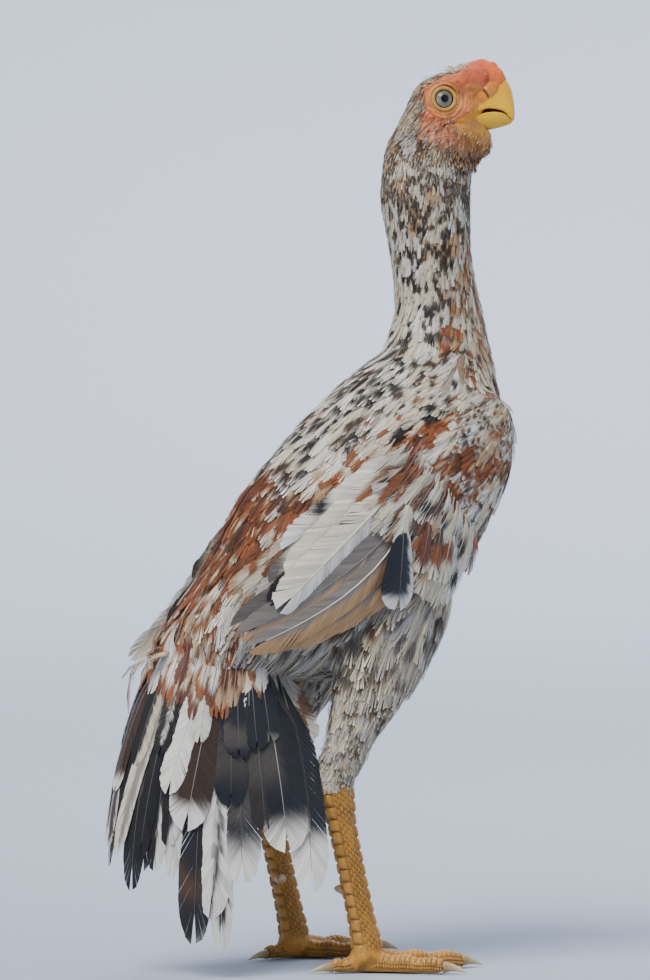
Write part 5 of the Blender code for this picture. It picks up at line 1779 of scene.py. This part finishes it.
def shank_surface(side):
    """Point of a shank at a height and angle from the front, with a distance out."""
    rows = smooth_rows(SHANK_LEVELS, 5)[::-1]

    def place(z, angle, out):
        rear, front, away, half = (np.interp(z, rows[:, 0], rows[:, k]) for k in (1, 2, 3, 4))
        x = 0.5 * (rear + front) + (0.5 * (front - rear) + out) * np.cos(angle)
        y = side * away + (half + out) * np.sin(angle)
        return np.stack([x, y, z], axis=-1)

    return place


def toe_surface(side, number):
    """Point of a toe at a share of its length and angle round it, with a distance out."""
    root, ahead, across = toe_frame(side, number)
    length = TOES[number][1]

    def place(share, angle, out):
        radius = toe_radius(number, share)
        made = root + ahead * (length * share)[..., None]
        made = made + across * (radius + out)[..., None] * np.cos(angle)[..., None]
        made[..., 2] = np.maximum(radius * TOE_REST + (radius + out) * np.sin(angle), 0.3)
        return made

    return place


def build_scutes(side, label, material):
    """Plates down the shank and over the toes of one leg."""
    blocks = []

    def add(surface_at, low, high, first, last, lift, shades, rows=6, columns=5):
        tone = LEG_OCHRE * RNG.uniform(*shades)
        blocks.append(plate(surface_at, low, high, first, last, lift, tone, rows, columns))

    shank = shank_surface(side)
    for column, (first, last) in enumerate(SHANK_PLATES):
        for row in range(15):
            high = PLATES_TOP - (row + 0.5 * (column % 2)) * 6.7
            add(shank, high, max(high - 6.9, 6.0), first, last, 0.75, (0.85, 1.15))
    for sign in (1, -1):
        for column in range(5):
            first = sign * 1.02 + sign * 0.225 * column
            for row in range(28):
                high = PLATES_TOP - (row + 0.5 * (column % 2)) * 3.6
                add(shank, high, max(high - 3.7, 6.0), first, first + sign * 0.24, 0.35, (0.75, 1.05), 3, 3)
    for number, toe in enumerate(TOES):
        surface_at = toe_surface(side, number)
        count = toe[4]
        for k in range(count):
            low, high = 0.10 + 0.87 * k / count, 0.10 + 0.87 * (k + 1.08) / count
            add(surface_at, low, high, 0.55, 2.59, 0.55, (0.9, 1.2))
        for k in range(count * 2):
            low, high = 0.08 + 0.9 * k / (2 * count), 0.08 + 0.9 * (k + 1.1) / (2 * count)
            for first, last in TOE_PLATES:
                add(surface_at, low, high, first, last, 0.3, (0.7, 1.0), 3, 3)
    points, quads, tones = zip(*blocks)
    starts = np.cumsum([0] + [len(block) for block in points])
    quads = np.concatenate([faces + start for faces, start in zip(quads, starts)])
    made = reshaped(make("scutes_" + label, np.concatenate(points), quads), face_outwards)
    paint(made, np.concatenate(tones))
    finish_piece(made, material)


def build_spur(side, label, material):
    """Bud of the spur on the inner side of the shank."""
    ahead = unit(np.array([-0.62, -0.78 * side, 0.06]))
    across = unit(np.cross(ahead, [0.0, 0.0, 1.0]))
    spoke = spokes(round_turn(28), across, np.cross(across, ahead))
    base = SPUR_PLACE * [1.0, side, 1.0]
    rings = []
    for share, size in smooth_rows(SPUR_STATIONS, 4):
        rings.append(base + ahead * (3.0 + 9.2 * share) + spoke * 3.5 * size)
    made = loft_object("spur_" + label, rings)
    paint(made, SPUR_HORN)
    finish_piece(made, material)


def build_claws(side, label, material):
    """Curved claws of one foot."""
    turn = round_turn(28)
    for number, (_, length, _, radius, _) in enumerate(TOES):
        root, ahead, across = toe_frame(side, number)
        rings = []
        for share, size, height in smooth_rows(CLAW_STATIONS, 7):
            centre = root + ahead * (length - 0.8 + (CLAW_LENGTH + 0.8) * share)
            ring = centre + np.outer(np.cos(turn), across) * size * radius * 0.92
            rise = (height + size * 0.98 * np.sin(turn) * (1.0 - 0.15 * np.sin(turn))) * radius
            ring[:, 2] = np.maximum(rise, 0.05)
            rings.append(ring)
        claw = loft_object("claw_horn_%s_%d" % (label, number + 1), rings)
        along = (points_of(claw) - root)[:, :2] @ ahead[:2] - length
        paint(claw, mixed(CLAW_ROOT, CLAW_TIP, step(0.0, 9.0, along)))
        finish_piece(claw, material)
        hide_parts("claw_%s_%d" % (label, number + 1))


# Studio


def build_floor():
    """Pale floor that curves up into a wall all round."""
    profile = [(0.02, 0.0), (1.0, 0.0), (3.0, 0.0), (FLOOR_REACH, 0.02)]
    for angle in np.linspace(0.1, 1.45, 12):
        height = FLOOR_BEND * (1.0 - math.cos(angle)) + 0.02
        profile.append((FLOOR_REACH + FLOOR_BEND * math.sin(angle), height))
    profile.append((5.7, 5.0))
    turn = round_turn(96)
    rings = []
    for reach, height in profile:
        ring = np.stack([np.cos(turn) * reach, np.sin(turn) * reach, np.full(len(turn), height)], axis=-1)
        rings.append(ring / MM - SHIFT)
    floor = tube("floor", rings)

    def close(edit):
        inner = [edge for edge in edit.edges if edge.is_boundary and edge.verts[0].co.z < 1.0]
        bmesh.ops.holes_fill(edit, edges=inner)
        face_outwards(edit)

    reshaped(floor, close)
    stuff = bpy.data.materials.new("backdrop")
    stuff.use_nodes = True
    tree = stuff.node_tree
    shader = tree.nodes["Principled BSDF"]
    shader.inputs["Roughness"].default_value = 0.85
    grain = node(tree, "ShaderNodeTexNoise", Scale=3.0, Detail=6.0)
    tone = node(tree, "ShaderNodeMix", [(0, grain.outputs["Fac"])], data_type="RGBA")
    tone.inputs[6].default_value = (0.42, 0.48, 0.60, 1.0)
    tone.inputs[7].default_value = (0.47, 0.53, 0.64, 1.0)
    tree.links.new(tone.outputs[2], shader.inputs["Base Color"])
    floor.data.materials.append(stuff)


def aimed(name, data, place, direction):
    """Camera or light at a place, looking in a direction."""
    made = linked(name, data)
    made.location = place
    made.rotation_euler = Vector(direction).to_track_quat("-Z", "Y").to_euler()
    return made


def build_camera():
    """Camera at the photo's viewing angle and framing."""
    data = bpy.data.cameras.new("camera")
    data.sensor_fit = "VERTICAL"
    data.sensor_height = SENSOR_HEIGHT
    data.lens = SENSOR_HEIGHT * CAMERA_DISTANCE / (PHOTO_HEIGHT * PHOTO_SCALE)
    place = PHOTO_TARGET * MM - PHOTO_AWAY * CAMERA_DISTANCE
    bpy.context.scene.camera = aimed("camera", data, place, PHOTO_AWAY)


def build_light():
    """Soft key light from the upper left front, a fill, light from behind and a pale sky."""
    middle = np.array([0.0, 0.0, 0.27])
    up = np.array([0.0, 0.0, 1.0])
    sun = bpy.data.lights.new("key", "SUN")
    sun.energy = 6.8
    sun.angle = math.radians(40.0)
    sun.color = (1.0, 0.97, 0.93)
    aimed("key", sun, (0.0, 0.0, 0.0), PHOTO_AWAY * 0.75 + PHOTO_SIDE * 0.45 - up * 0.85)
    for name, away, side, high, size, power, colour in (
        ("fill", -1.3, 1.3, 0.5, 1.4, 4.0, (0.97, 0.98, 1.0)),
        ("rim", 1.1, 0.4, 1.3, 0.9, 10.0, (0.95, 0.97, 1.0)),
    ):
        data = bpy.data.lights.new(name, "AREA")
        data.size = size
        data.energy = power
        data.color = colour
        place = middle + PHOTO_AWAY * away + PHOTO_SIDE * side + up * high
        aimed(name, data, place, Vector(middle) - Vector(place))
    world = bpy.data.worlds.new("studio")
    world.use_nodes = True
    background = world.node_tree.nodes["Background"]
    background.inputs["Color"].default_value = (0.97, 0.98, 1.0, 1.0)
    background.inputs["Strength"].default_value = 0.42
    bpy.context.scene.world = world


def main():
    """Builds the looks round the CAD model."""
    skin = skin_material()
    horn = horn_material("bill_horn", 0.32, (300.0, 300.0, 900.0))
    claw = horn_material("claw_horn", 0.3, (300.0, 300.0, 900.0))
    scale = horn_material("leg_scale", 0.42, (500.0, 500.0, 900.0))
    eye = eye_material()
    plumage = plumage_material("plumage", 0.62, 0.42, 0.25)
    quills = plumage_material("quill", 0.40, 0.36, 0.35)
    ground = Ground(build_skin(skin))
    build_body_plumage(ground, plumage)
    build_bristles(ground, plumage)
    build_comb(skin)
    build_upper_bill(horn)
    build_lower_bill(horn)
    build_mouth(skin)
    for side, label in SIDES:
        build_eye(side, label, eye)
        build_lids(side, label, skin)
        build_wing_and_tail(side, label, quills)
        build_scutes(side, label, scale)
        build_spur(side, label, scale)
        build_claws(side, label, claw)
    build_floor()
    build_camera()
    build_light()


main()
